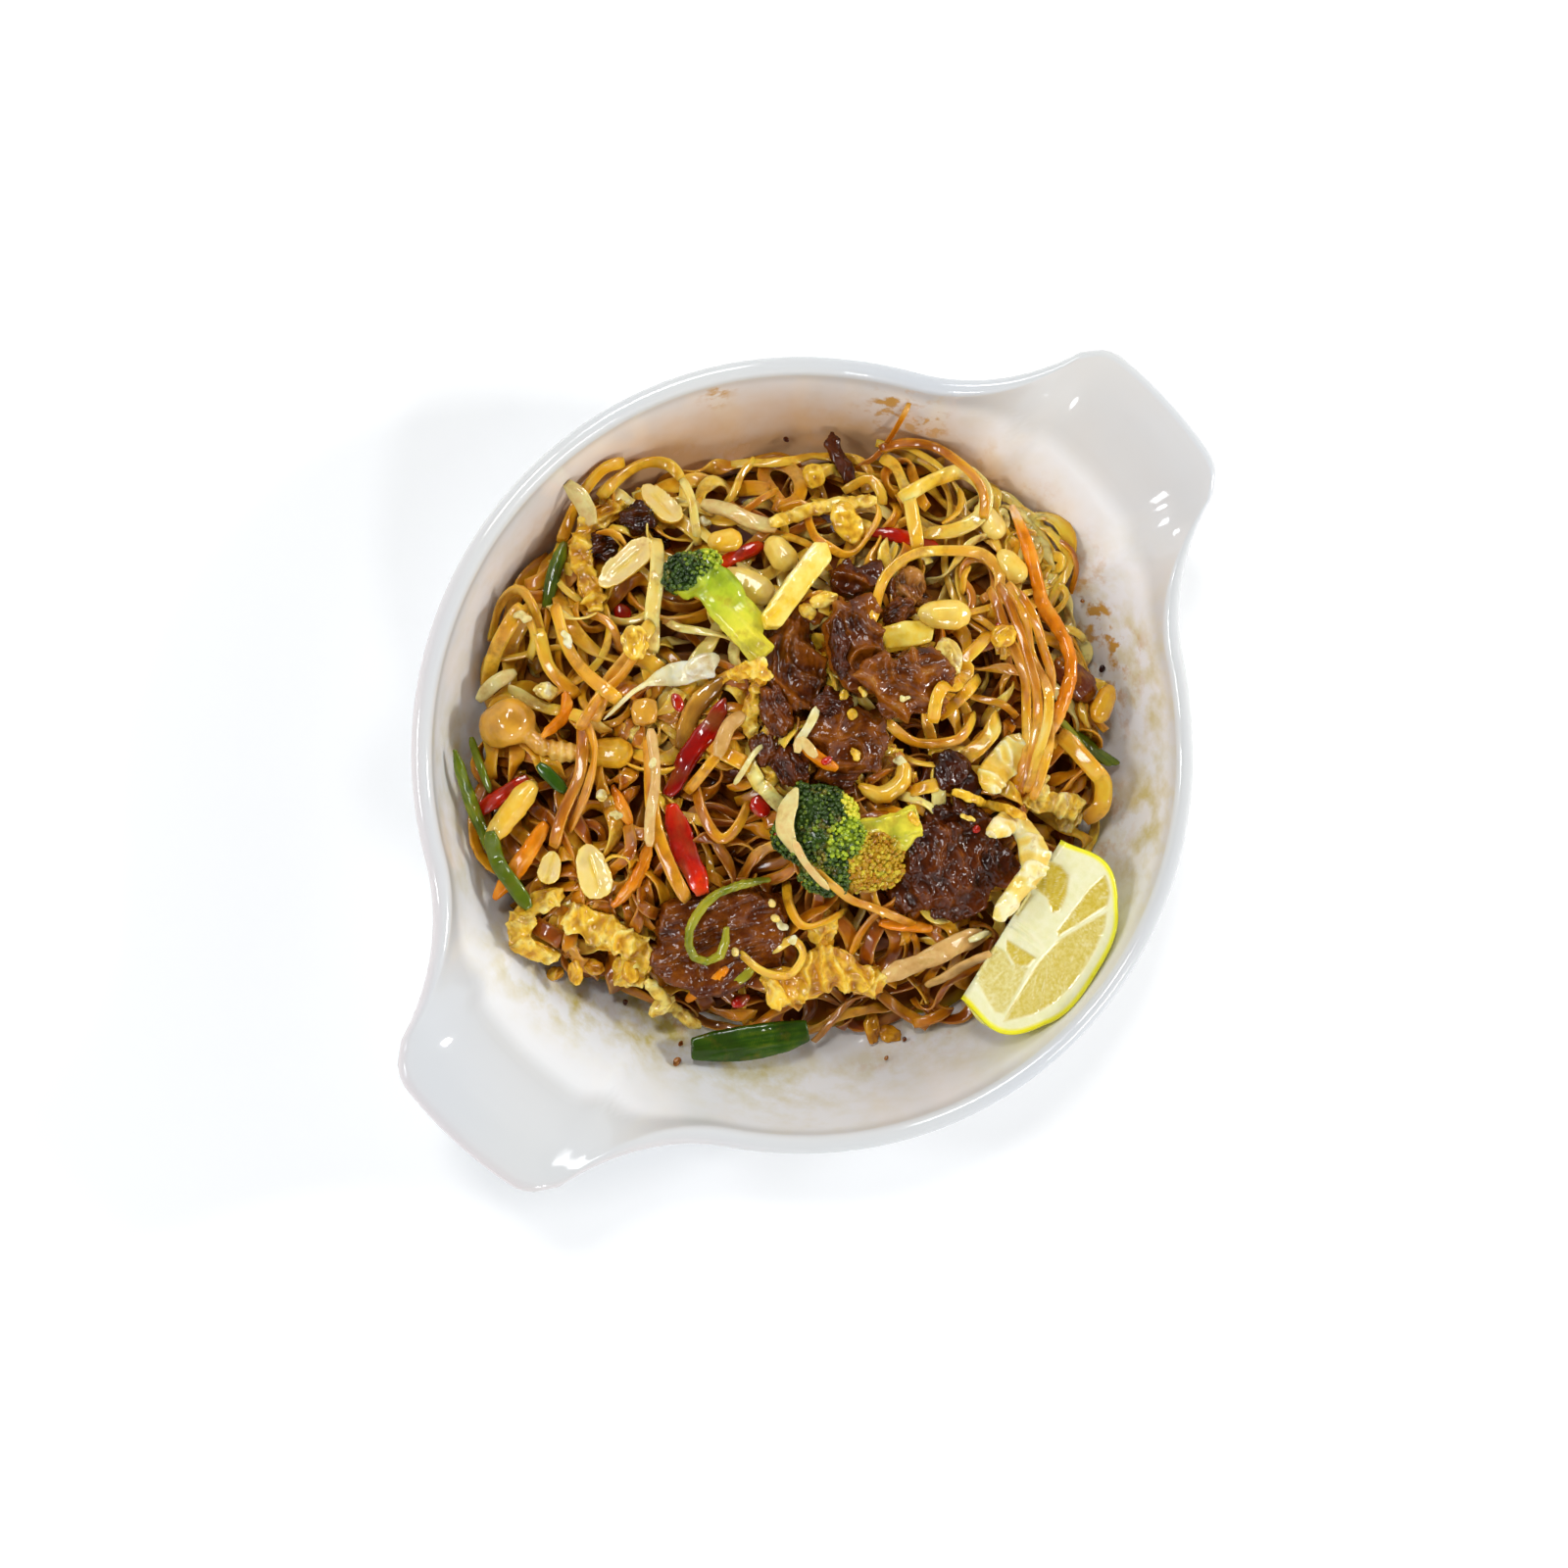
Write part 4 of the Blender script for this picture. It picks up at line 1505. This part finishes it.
def build_pale(table):
    """The onion petal with pale shreds and flakes, and the two yellow cut foods."""
    look = food_look("onion_flesh", ((0.0, (0.50, 0.24, 0.05)), (0.3, (0.72, 0.44, 0.15)),
                                     (0.6, (0.80, 0.70, 0.28)), (0.8, (0.85, 0.80, 0.50)),
                                     (1.0, (0.86, 0.86, 0.74))),
                     sauce=0.03, sauce_colour=(0.5, 0.3, 0.05), rough=0.25, coat=0.4, glow=0.2,
                     hollow=(0.5, 0.32, 0.08), hollow_part=0.4)
    petal = Skin(lumps=(6.0, 0.2), fibres=(1.2, 0.06), grain=(0.8, 0.03))
    parts = simple_parts(petal, 0.45, 8, {"onion_petal": 0.92}, paint_pale,
                         {"onion_petal": (((-30.5, 23.0), (5.4, 3.0, 0.9), 24, 0.4),)},
                         {"onion_petal": 1.2})
    fruit = food_look("yellow_cut_pieces", ((0.0, (0.62, 0.22, 0.004)),
                                            (0.35, (0.88, 0.58, 0.03)),
                                            (0.65, (0.92, 0.78, 0.20)), (1.0, (0.93, 0.89, 0.62))),
                      sauce=0.05, sauce_colour=(0.72, 0.36, 0.01), rough=0.28, coat=0.5, glow=0.2,
                      strength=0.15, depth=0.2, hollow=(0.75, 0.45, 0.02), hollow_part=0.3)
    cut_skin = Skin(lumps=(6.0, 0.2), fibres=(1.2, 0.05), grain=(0.8, 0.03))
    tones = {"bamboo_shoot": 0.75, "pineapple_wedge": 0.3}
    yellow = simple_parts(cut_skin, 0.45, 2, tones, paint_pale, raised=dict.fromkeys(tones, 1.0))
    settle(gather(yellow), "yellow_pieces", fruit, list(tones))
    strips = ((((20, -60), (30, -56), (39, -51), (47, -49)), 6.4, 1.2, 14, 0.26),
              (((33, -63), (40, -58), (47, -53)), 4.0, 1.0, 22, 0.2),
              (((42, -50), (45, -49), (48, -48)), 2.0, 0.8, 0, 0.62),
              (((-20, 10), (-24, 7), (-26, 3), (-27, -1)), 4.2, 2.0, 0, 0.12),
              (((-29, 67), (-23, 65), (-17, 62), (-10, 60)), 4.2, 2.4, 0, 0.42),
              (((-44, 6), (-43, -6), (-44, -16), (-44, -24)), 2.8, 1.4, 0, 0.3),
              (((-87, 14), (-83, 18), (-78, 21)), 3.8, 2.2, 0, 0.55),
              (((-65, 70), (-61, 66), (-58, 60)), 5.0, 0.9, 20, 0.5),
              (((-7, 2), (-3, 8), (-1, 12)), 2.4, 0.8, 10, 0.66),
              (((-2, -1), (-6, 3), (-7, 0)), 3.0, 1.2, 0, 0.45),
              (((-22, -8), (-18, -1), (-15, 2)), 1.6, 1.0, 0, 0.6))
    for points, wide, thick, lean, tone in strips:
        parts.append(tube(lay(table, points, wide, thick, lean, tone, 0.4, stride=0.8), 4))
    blades = ((((-7, -9), (-10, -15), (-10.5, -20), (-7.5, -26)), 6.0, 24, 0.52),
              (((-9, -22), (-6, -27), (-3, -31), (1, -35)), 2.2, 20, 0.4))
    for points, wide, lean, tone in blades:
        parts.append(tube(lay(table, points, wide, 0.7, lean, tone, 0.4, 0.04, 0.6), 4))
    flake = Skin(lumps=(1.6, 0.9), grain=(0.6, 0.1))
    flakes = (((-65, 29), (1.1, 2.2, 0.5), 0.75), ((-52, -16), (1.2, 1.6, 0.5), 0.55),
              ((-28, 62), (1.1, 1.8, 0.6), 0.7), ((-44, -3), (0.8, 1.4, 0.4), 0.6),
              ((20, 14), (1.0, 1.4, 0.5), 0.55), ((22, -2), (1.8, 1.4, 0.6), 0.7),
              ((-76, 35), (1.2, 2.6, 0.8), 0.55), ((-6, -49), (1.4, 1.0, 0.5), 0.7),
              ((-9, -45), (1.0, 1.8, 0.5), 0.75))
    for place, size, tone in flakes:
        parts.append(nugget(table, place, size, place[1] * 7.0, tone, flake))
    settle(gather(parts), "pale_pieces", look, ["onion_petal"])


# The lemon's cut face: u runs along its straight edge from the middle, v away from that edge.
LEMON_ENDS, LEMON_CLIMB = ((67.5, -23.0), (39.0, -65.3)), math.radians(7.0)
LEMON_HALF, LEMON_WAIST, LEMON_DEEP, LEMON_SQUARE = 25.4, 28.6, 27.6, 0.68
LEMON_SECTOR = math.radians(34.0)
LEMON_GRID = (132, 64, 26)  # steps along the edge, across a cut face and over the rind
STAR = (0.8, 12.4)  # where the segments meet
# Segments of pulp: outline in u and v, depth of colour.
PULP = ((((-18.4, -1), (-10.4, -1), (-10.1, 5.1), (-7.4, 8.6), (-9.2, 10.1), (-13.6, 9.3),
          (-18.4, 7), (-19.6, 3.6)), 1.0),
        (((-24.4, 15.2), (-21.2, 18.8), (-17.4, 20.3), (-11.6, 17.6), (-3.1, 13.4), (-3.9, 12.3),
          (-11, 12.9), (-18.5, 13.6)), 0.85),
        (((-16, 21.1), (-12.2, 22.8), (-5.9, 23.8), (0.7, 24), (6.8, 23.4), (12.5, 22), (18, 19),
          (24.3, 12.9), (20.3, 12.6), (12.8, 12.4), (5.3, 12.5), (1.8, 13), (-2.1, 13.9),
          (-7.1, 16.3), (-11.9, 18.7)), 0.6),
        (((8.3, 3.3), (10.3, 6.8), (8.6, 10.9), (14.1, 11.8), (22.3, 12.1), (23.4, 9.7),
          (20.9, 4.6), (19.2, 1.5), (15.3, -1), (8.5, -1)), 0.25),
        (((5.3, 1.8), (5, 11.3), (8.1, 10.6), (10.1, 8), (7.9, 3.3)), 0.9),
        (((-9.6, -1), (-1.2, -1), (-1.6, 1.2), (-8.6, 1.6)), 0.35))


def edge_distance(u, v, shape):
    """Distance in mm from a place to a shape's outline, positive inside it."""
    inside, nearest = False, 99.0
    for (au, av), (bu, bv) in zip(shape, shape[1:] + shape[:1]):
        du, dv = bu - au, bv - av
        part = min(1.0, max(0.0, ((u - au) * du + (v - av) * dv) / (du * du + dv * dv)))
        nearest = min(nearest, math.hypot(u - au - part * du, v - av - part * dv))
        if (av > v) != (bv > v) and u < au + (v - av) / dv * du:
            inside = not inside
    return nearest if inside else -nearest


def lemon_look():
    """Wet pulp in rays, pale pith and waxy yellow rind."""
    made = Look("cut_lemon", rough=0.25, coat=0.5, coat_rough=0.08, glow=0.15)
    vesicle = made.clouds(1.1, 0.35, 0.65, detail=2.0)
    pale = made.blend(vesicle, (0.68, 0.57, 0.17), (0.78, 0.71, 0.34))
    full = made.blend(vesicle, (0.60, 0.43, 0.03), (0.68, 0.53, 0.10))
    pulp = made.blend(made.attribute("full"), pale, full)
    ray = made.spread(made.attribute("ray"), 0.0, 1.0)
    pulp = made.blend(ray, pulp, (0.80, 0.72, 0.38))
    pith = made.blend(made.clouds(2.5, 0.3, 0.7), (0.80, 0.77, 0.42), (0.87, 0.84, 0.57))
    colour = made.blend(made.attribute("pulp"), pith, pulp)
    rind = made.blend(made.clouds(7.0, 0.35, 0.65), (0.86, 0.76, 0.015), (0.90, 0.86, 0.04))
    colour = made.blend(made.attribute("rind"), colour, rind)
    made.bump(made.speckle(1.3, 2.0), strength=0.3, depth=0.25)
    return made.finish(colour)


def build_lemon():
    """A grid wrapped round the wedge: one cut face, the rind, and the other cut face."""
    low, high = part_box("lemon_wedge")
    first, last = Vector(seat(*LEMON_ENDS[0])), Vector(seat(*LEMON_ENDS[1]))
    along = (last - first).normalized()
    aside = Vector((-along.y * math.cos(LEMON_CLIMB), along.x * math.cos(LEMON_CLIMB),
                    math.sin(LEMON_CLIMB)))
    along = along.to_3d()
    up = along.cross(aside)
    middle = (first + last).to_3d() / 2
    middle.z = max(low[2], high[2]) / MM - LEMON_DEEP * math.sin(LEMON_CLIMB) - 0.15
    turns, face, skin = LEMON_GRID
    around = 2 * face + skin
    bm = bmesh.new()
    labels = {label: layer(bm, label) for label in ("pulp", "full", "ray", "rind")}
    grid = bmesh.ops.create_grid(bm, x_segments=turns, y_segments=around, size=1.0)["verts"]
    for index, corner in enumerate(grid):
        ring, column = divmod(index, turns + 1)
        angle = math.pi * column / turns
        across, out = math.cos(angle), math.sin(angle)
        half = mix(LEMON_HALF, LEMON_WAIST, math.sin(math.pi * min(1.0, 1.3 * out)))
        rim_u = -half * math.copysign(abs(across) ** LEMON_SQUARE, across)
        rim_v = LEMON_DEEP * abs(out) ** LEMON_SQUARE if 0 < column < turns else 0.0
        top, bottom = ring <= face, ring >= face + skin
        reach = ring / face if top else (around - ring) / face if bottom else 1.0
        turn = 0.0 if top else LEMON_SECTOR if bottom else LEMON_SECTOR * (ring - face) / skin
        u, v = rim_u * reach, rim_v * reach
        lift = 0.0
        if top or bottom:
            best = max((edge_distance(u, v, shape), full) for shape, full in PULP)
            pulp = smoothstep(best[0], -0.35, 0.45)
            bearing = math.atan2(v - STAR[1], u - STAR[0])
            far = math.hypot(u - STAR[0], v - STAR[1])
            ray = ridge(Vector((bearing * 9.0, far * 0.09, 1.0)))
            corner[labels["pulp"]] = pulp
            corner[labels["full"]] = best[1]
            corner[labels["ray"]] = pulp * smoothstep(ray, 0.86, 1.0) * 0.8
            band = smoothstep(3.4 - abs(u - 1.9), 0.0, 0.6) * smoothstep(12.0 - v, 0.0, 1.0)
            fibre = ridge(Vector((u * 0.8, v * 0.05, 4.0))) - 0.4
            lift = -0.45 * pulp + 0.18 * pulp * ray + band * 0.45 * fibre
            gone = 1.0 - reach
            corner[labels["rind"]] = smoothstep(1.9 - gone * math.hypot(rim_u, rim_v), 0.0, 0.9)
        else:
            corner[labels["rind"]] = 1.0
        if top:
            lift -= 0.5 * smoothstep(reach, 0.985, 1.0)
        height = lift if top else -lift if bottom else 0.0
        corner.co = (middle + along * u + aside * (v * math.cos(turn) + height * math.sin(turn))
                     + up * (height * math.cos(turn) - v * math.sin(turn)))
    bmesh.ops.remove_doubles(bm, verts=bm.verts[:], dist=0.001)
    bmesh.ops.dissolve_degenerate(bm, edges=bm.edges[:], dist=0.0005)
    bmesh.ops.recalc_face_normals(bm, faces=bm.faces[:])
    settle(bm, "lemon_wedge_cut", lemon_look(), ["lemon_wedge"])


# Noodles that lie over the rest: route, width, thickness, lean, tone, lift.
HERO_NOODLES = (
    (((12, 33), (14, 37), (16, 42), (20, 49), (28, 54), (40, 55), (47, 54), (51, 49), (50, 42),
      (49, 37)), 3.0, 0.9, 20, 0.72, 1.5),
    (((43, 51), (41, 48), (41, 44)), 2.2, 0.8, 60, 0.7, 0.5),
    (((48, 45), (52, 34), (57, 23), (59, 12), (58, 1), (56, -8)), 2.8, 0.9, 35, 0.46, 0.6),
    (((50, 46), (55, 34), (59, 22), (61, 11), (59, 0), (57, -10)), 2.6, 0.9, 45, 0.32, 0.9),
    (((52, 46), (58, 34), (62, 22), (63, 10), (60, -1), (58, -10)), 2.8, 0.9, 38, 0.60, 0.8),
    (((54, 44), (61, 32), (65, 20), (66, 9), (62, -1), (59, -12)), 2.6, 0.9, 48, 0.40, 0.5),
    (((21, 82), (24, 79), (26, 71), (27, 62), (28, 55)), 3.6, 0.9, 10, 0.8, 1.0),
    (((24, 69), (34, 75), (42, 78), (46, 76), (48, 71), (46, 65), (39, 61), (31, 60)),
      4.4, 0.9, 25, 0.8, 1.2),
    (((42, 73), (42, 70), (40, 66), (36, 63)), 2.4, 0.8, 50, 0.6, 0.5),
    (((48, 33), (44, 29), (40, 25), (41, 22), (36, 18), (30, 17), (28, 13), (28, 8)),
      3.6, 1.0, 30, 0.62, 0.8),
    (((46, 21), (41, 18), (38, 15), (34, 10)), 3.2, 1.0, 20, 0.6, 0.6),
    (((17, 9), (23, 5), (28, 3), (35, 3), (40, 5), (45, 11)), 3.0, 1.0, 25, 0.6, 0.6),
    (((-8, 66), (-2, 67), (-1, 61), (0, 56), (6, 53), (11, 54), (15, 59), (18, 65), (16, 70)),
      2.6, 0.9, 55, 0.55, 0.8),
    (((10, 72), (16, 75), (19, 72), (20, 68)), 3.0, 0.9, 30, 0.65, 0.6),
    (((14, 79), (19, 82), (22, 86), (24, 91), (25, 94)), 1.6, 0.7, 10, 0.3, 0.2),
    (((20, 84), (28, 86), (36, 85), (42, 79), (46, 72), (47, 64)), 2.6, 0.8, 20, 0.3, 0.3),
    (((-42, 56), (-42, 48), (-43, 38), (-43, 26)), 4.0, 0.9, 8, 0.85, 0.5),
    (((-34, 74), (-32, 68), (-31, 61), (-30, 56)), 2.6, 0.8, 15, 0.85, 0.4),
    (((-19, 64), (-14, 68), (-8, 72)), 2.0, 0.8, 10, 0.5, 0.3),
    (((-84, 30), (-82, 38), (-79, 42), (-76, 42), (-73, 37), (-71, 31)), 3.0, 0.9, 45, 0.62, 0.8),
    (((-81, 32), (-78, 35), (-75, 35), (-73, 30), (-74, 25)), 2.6, 0.9, 45, 0.7, 0.8),
    (((-56, 68), (-50, 74), (-44, 78), (-38, 78), (-34, 74)), 3.4, 0.9, 20, 0.6, 0.6),
    (((-66, 56), (-62, 66), (-56, 74), (-50, 77)), 3.4, 0.9, 20, 0.55, 0.4),
    (((-61, 7), (-61, 0), (-62, -7), (-66, -16), (-68, -24)), 3.2, 1.0, 20, 0.28, 0.6),
    (((-60, 8), (-58, 0), (-60, -10), (-64, -20)), 2.6, 1.0, 50, 0.36, 0.6),
    (((-44, 4), (-44, -8), (-42, -20), (-38, -31), (-34, -38)), 3.8, 1.0, 12, 0.34, 0.8),
    (((-32, -8), (-30, -16), (-26, -22), (-22, -20), (-18, -13)), 3.0, 1.0, 35, 0.36, 0.8),
    (((-34, -10), (-31, -6), (-28, -2), (-25, 1)), 3.0, 0.9, 20, 0.5, 0.4),
    (((-20, -52), (-14, -57), (-7, -58), (-3, -53), (-6, -49), (-11, -52)),
      2.4, 0.9, 40, 0.62, 0.4),
    (((-7, -34), (-7, -40), (-4, -45), (3, -44), (9, -42)), 2.8, 0.9, 35, 0.6, 0.5),
    (((-4, -28), (1, -33), (8, -38), (16, -41), (28, -46)), 2.4, 0.9, 20, 0.35, 0.3),
    (((70, 6), (77, -3), (82, -8), (83, -14), (79, -18)), 5.0, 0.9, 20, 0.6, 0.5),
    (((68, 60), (72, 57), (75, 52), (76, 46)), 1.8, 0.7, 0, 0.35, 0.2),
    (((32, -75), (37, -73), (42, -71)), 3.2, 0.9, 0, 0.3, 0.2),
    (((-85, 18), (-83, 26), (-80, 32), (-76, 38)), 4.2, 1.0, 20, 0.66, 0.5),
    (((-58, 8), (-55, 17), (-49, 25), (-43, 34)), 3.8, 1.0, 12, 0.5, 0.5),
    (((-62, 6), (-57, 14), (-51, 20), (-46, 28)), 3.0, 1.0, 35, 0.45, 0.5),
    (((-68, 38), (-65, 28), (-59, 19), (-52, 13)), 3.8, 1.0, 25, 0.62, 0.5),
    (((-72, 32), (-69, 22), (-62, 15)), 3.6, 1.0, 20, 0.6, 0.4))


def build_heroes(table, look):
    """The noodles over the rest, in one piece; their streaks are numbered from 700."""
    strands = [lay(table, *row, taper=0.7) for row in HERO_NOODLES]
    for strand in strands:
        strand.heights = strand.heights - sunk_ends(len(strand.path), 2.2)
    tubes = [tube(strand, 700 + number) for number, strand in enumerate(strands)]
    settle(gather(tubes), "noodles_over", look)


def build_toppings(table, noodle):
    """The toppings in the order in which they lie, from the lowest."""
    covered = ~np.isnan(OVER)
    table.level[covered] = np.maximum(table.level, np.nan_to_num(OVER))[covered]
    build_beef(table)
    build_broccoli()
    build_greens(table)
    build_carrot(table)
    build_pepper(table)
    build_nuts(table)
    build_mushrooms()
    build_heroes(table, noodle)
    build_pale(table)
    build_egg(table)
    build_lemon()


# ---- room, light and camera --------------------------------------------------
def build_table():
    """A plain pale table top, just under the dish."""
    bm = bmesh.new()
    bmesh.ops.create_grid(bm, x_segments=2, y_segments=2, size=3.0)
    mesh = bpy.data.meshes.new("table_top")
    bm.to_mesh(mesh)
    bm.free()
    made = Look("table_white", rough=0.6)
    made.shader.inputs["Emission Color"].default_value = (1.0, 1.0, 1.0, 1.0)
    made.shader.inputs["Emission Strength"].default_value = 0.05
    mesh.materials.append(made.finish((0.93, 0.935, 0.94)))
    top = bpy.data.objects.new("table_top", mesh)
    top.location.z = -0.0002
    bpy.context.scene.collection.objects.link(top)
    return top


SKY = ((0.0, 1.0), (0.48, 1.0), (0.72, 0.2), (0.9, 0.08))  # height, light
SKY_TINT, SKY_POWER = (0.97, 0.985, 1.0), 1.3


def build_room():
    """Soft light all round, brightest at the horizon and dim overhead."""
    world = bpy.data.worlds.new("soft_room")
    world.use_nodes = True
    nodes, link = world.node_tree.nodes, world.node_tree.links.new
    place, split = nodes.new("ShaderNodeTexCoord"), nodes.new("ShaderNodeSeparateXYZ")
    sky = nodes.new("ShaderNodeValToRGB")
    while len(sky.color_ramp.elements) < len(SKY):
        sky.color_ramp.elements.new(0.5)
    for mark, (height, light) in zip(sky.color_ramp.elements, SKY):
        mark.position, mark.color = height, (*(part * light for part in SKY_TINT), 1.0)
    link(place.outputs["Generated"], split.inputs["Vector"])
    link(split.outputs["Z"], sky.inputs["Fac"])
    link(sky.outputs["Color"], nodes["Background"].inputs["Color"])
    nodes["Background"].inputs["Strength"].default_value = SKY_POWER
    bpy.context.scene.world = world


# Name, place on the diner's plan and height in metres, size, power and colour.
LAMPS = (("window", (-0.26, 0.40, 0.88), 0.14, 2.3, (1.0, 0.985, 0.96)),
         ("right", (0.82, 0.12, 0.52), 0.13, 3.5, (1.0, 0.99, 0.97)),
         ("left", (-0.78, 0.05, 0.60), 0.12, 1.7, (0.92, 0.96, 1.0)),
         ("front", (0.05, -0.78, 0.62), 0.12, 1.7, (0.95, 0.97, 1.0)))
# Lamps that show only as sheen on what is wet.
SHEEN_LAMPS = (("sheen_far", (-0.10, 0.62, 0.72), 0.30, 4.6, (0.96, 0.98, 1.0)),
               ("sheen_left", (-0.62, -0.25, 0.70), 0.20, 2.4, (0.94, 0.97, 1.0)),
               ("sheen_right", (0.55, -0.35, 0.72), 0.16, 1.6, (1.0, 0.98, 0.95)))


def hang_lamp(name, spot, size, power, colour):
    """A square lamp that faces the dish."""
    lamp = bpy.data.lights.new(name, "AREA")
    lamp.size, lamp.energy, lamp.color = size, power, colour
    held = bpy.data.objects.new(name, lamp)
    x, y = seat(*spot[:2])
    held.location = (x, y, spot[2])
    held.rotation_mode = "QUATERNION"
    held.rotation_quaternion = (-held.location).to_track_quat("-Z", "Y")
    bpy.context.scene.collection.objects.link(held)
    return held


def build_stage():
    """Table, light all round and lamps, which belong to the scene only."""
    top = build_table()
    build_room()
    lamps = [hang_lamp(*row) for row in LAMPS]
    sheen = [hang_lamp(*row) for row in SHEEN_LAMPS]
    for held in sheen:
        held.visible_diffuse = False
    bpy.context.scene.view_settings.view_transform = "Standard"


EYE_WAY, EYE_RIGHT = (-0.2059, -0.0244, 0.9783), (0.9785, 0.0, 0.2060)
EYE_AIM, EYE_REACH = 0.045, 0.4  # height looked at, and how far away the eye is
SENSOR, LENS, LENS_SHIFT = 36.0, 35.74, (-0.02572, -0.01994)


def build_camera():
    """Looks down on the food, leaning a little, with the diner's left at the left."""
    facing = Vector(EYE_WAY).normalized()
    right = Vector(EYE_RIGHT)
    right = (right - facing * right.dot(facing)).normalized()
    stand = Matrix((right, facing.cross(right), facing)).transposed().to_4x4()
    stand.translation = Vector((0.0, 0.0, EYE_AIM)) + EYE_REACH * facing
    lens = bpy.data.cameras.new("camera")
    lens.sensor_width = SENSOR
    lens.lens = LENS
    lens.shift_x, lens.shift_y = LENS_SHIFT
    lens.clip_start, lens.clip_end = 0.01, 20.0
    camera = bpy.data.objects.new("camera", lens)
    bpy.context.scene.collection.objects.link(camera)
    camera.matrix_world = Matrix.Rotation(-TABLE_TURN, 4, "Z") @ stand
    bpy.context.scene.camera = camera


build_dish()
NOODLE = noodle_look()
build_core(NOODLE)
build_toppings(build_noodles(NOODLE), NOODLE)
build_stage()
build_camera()
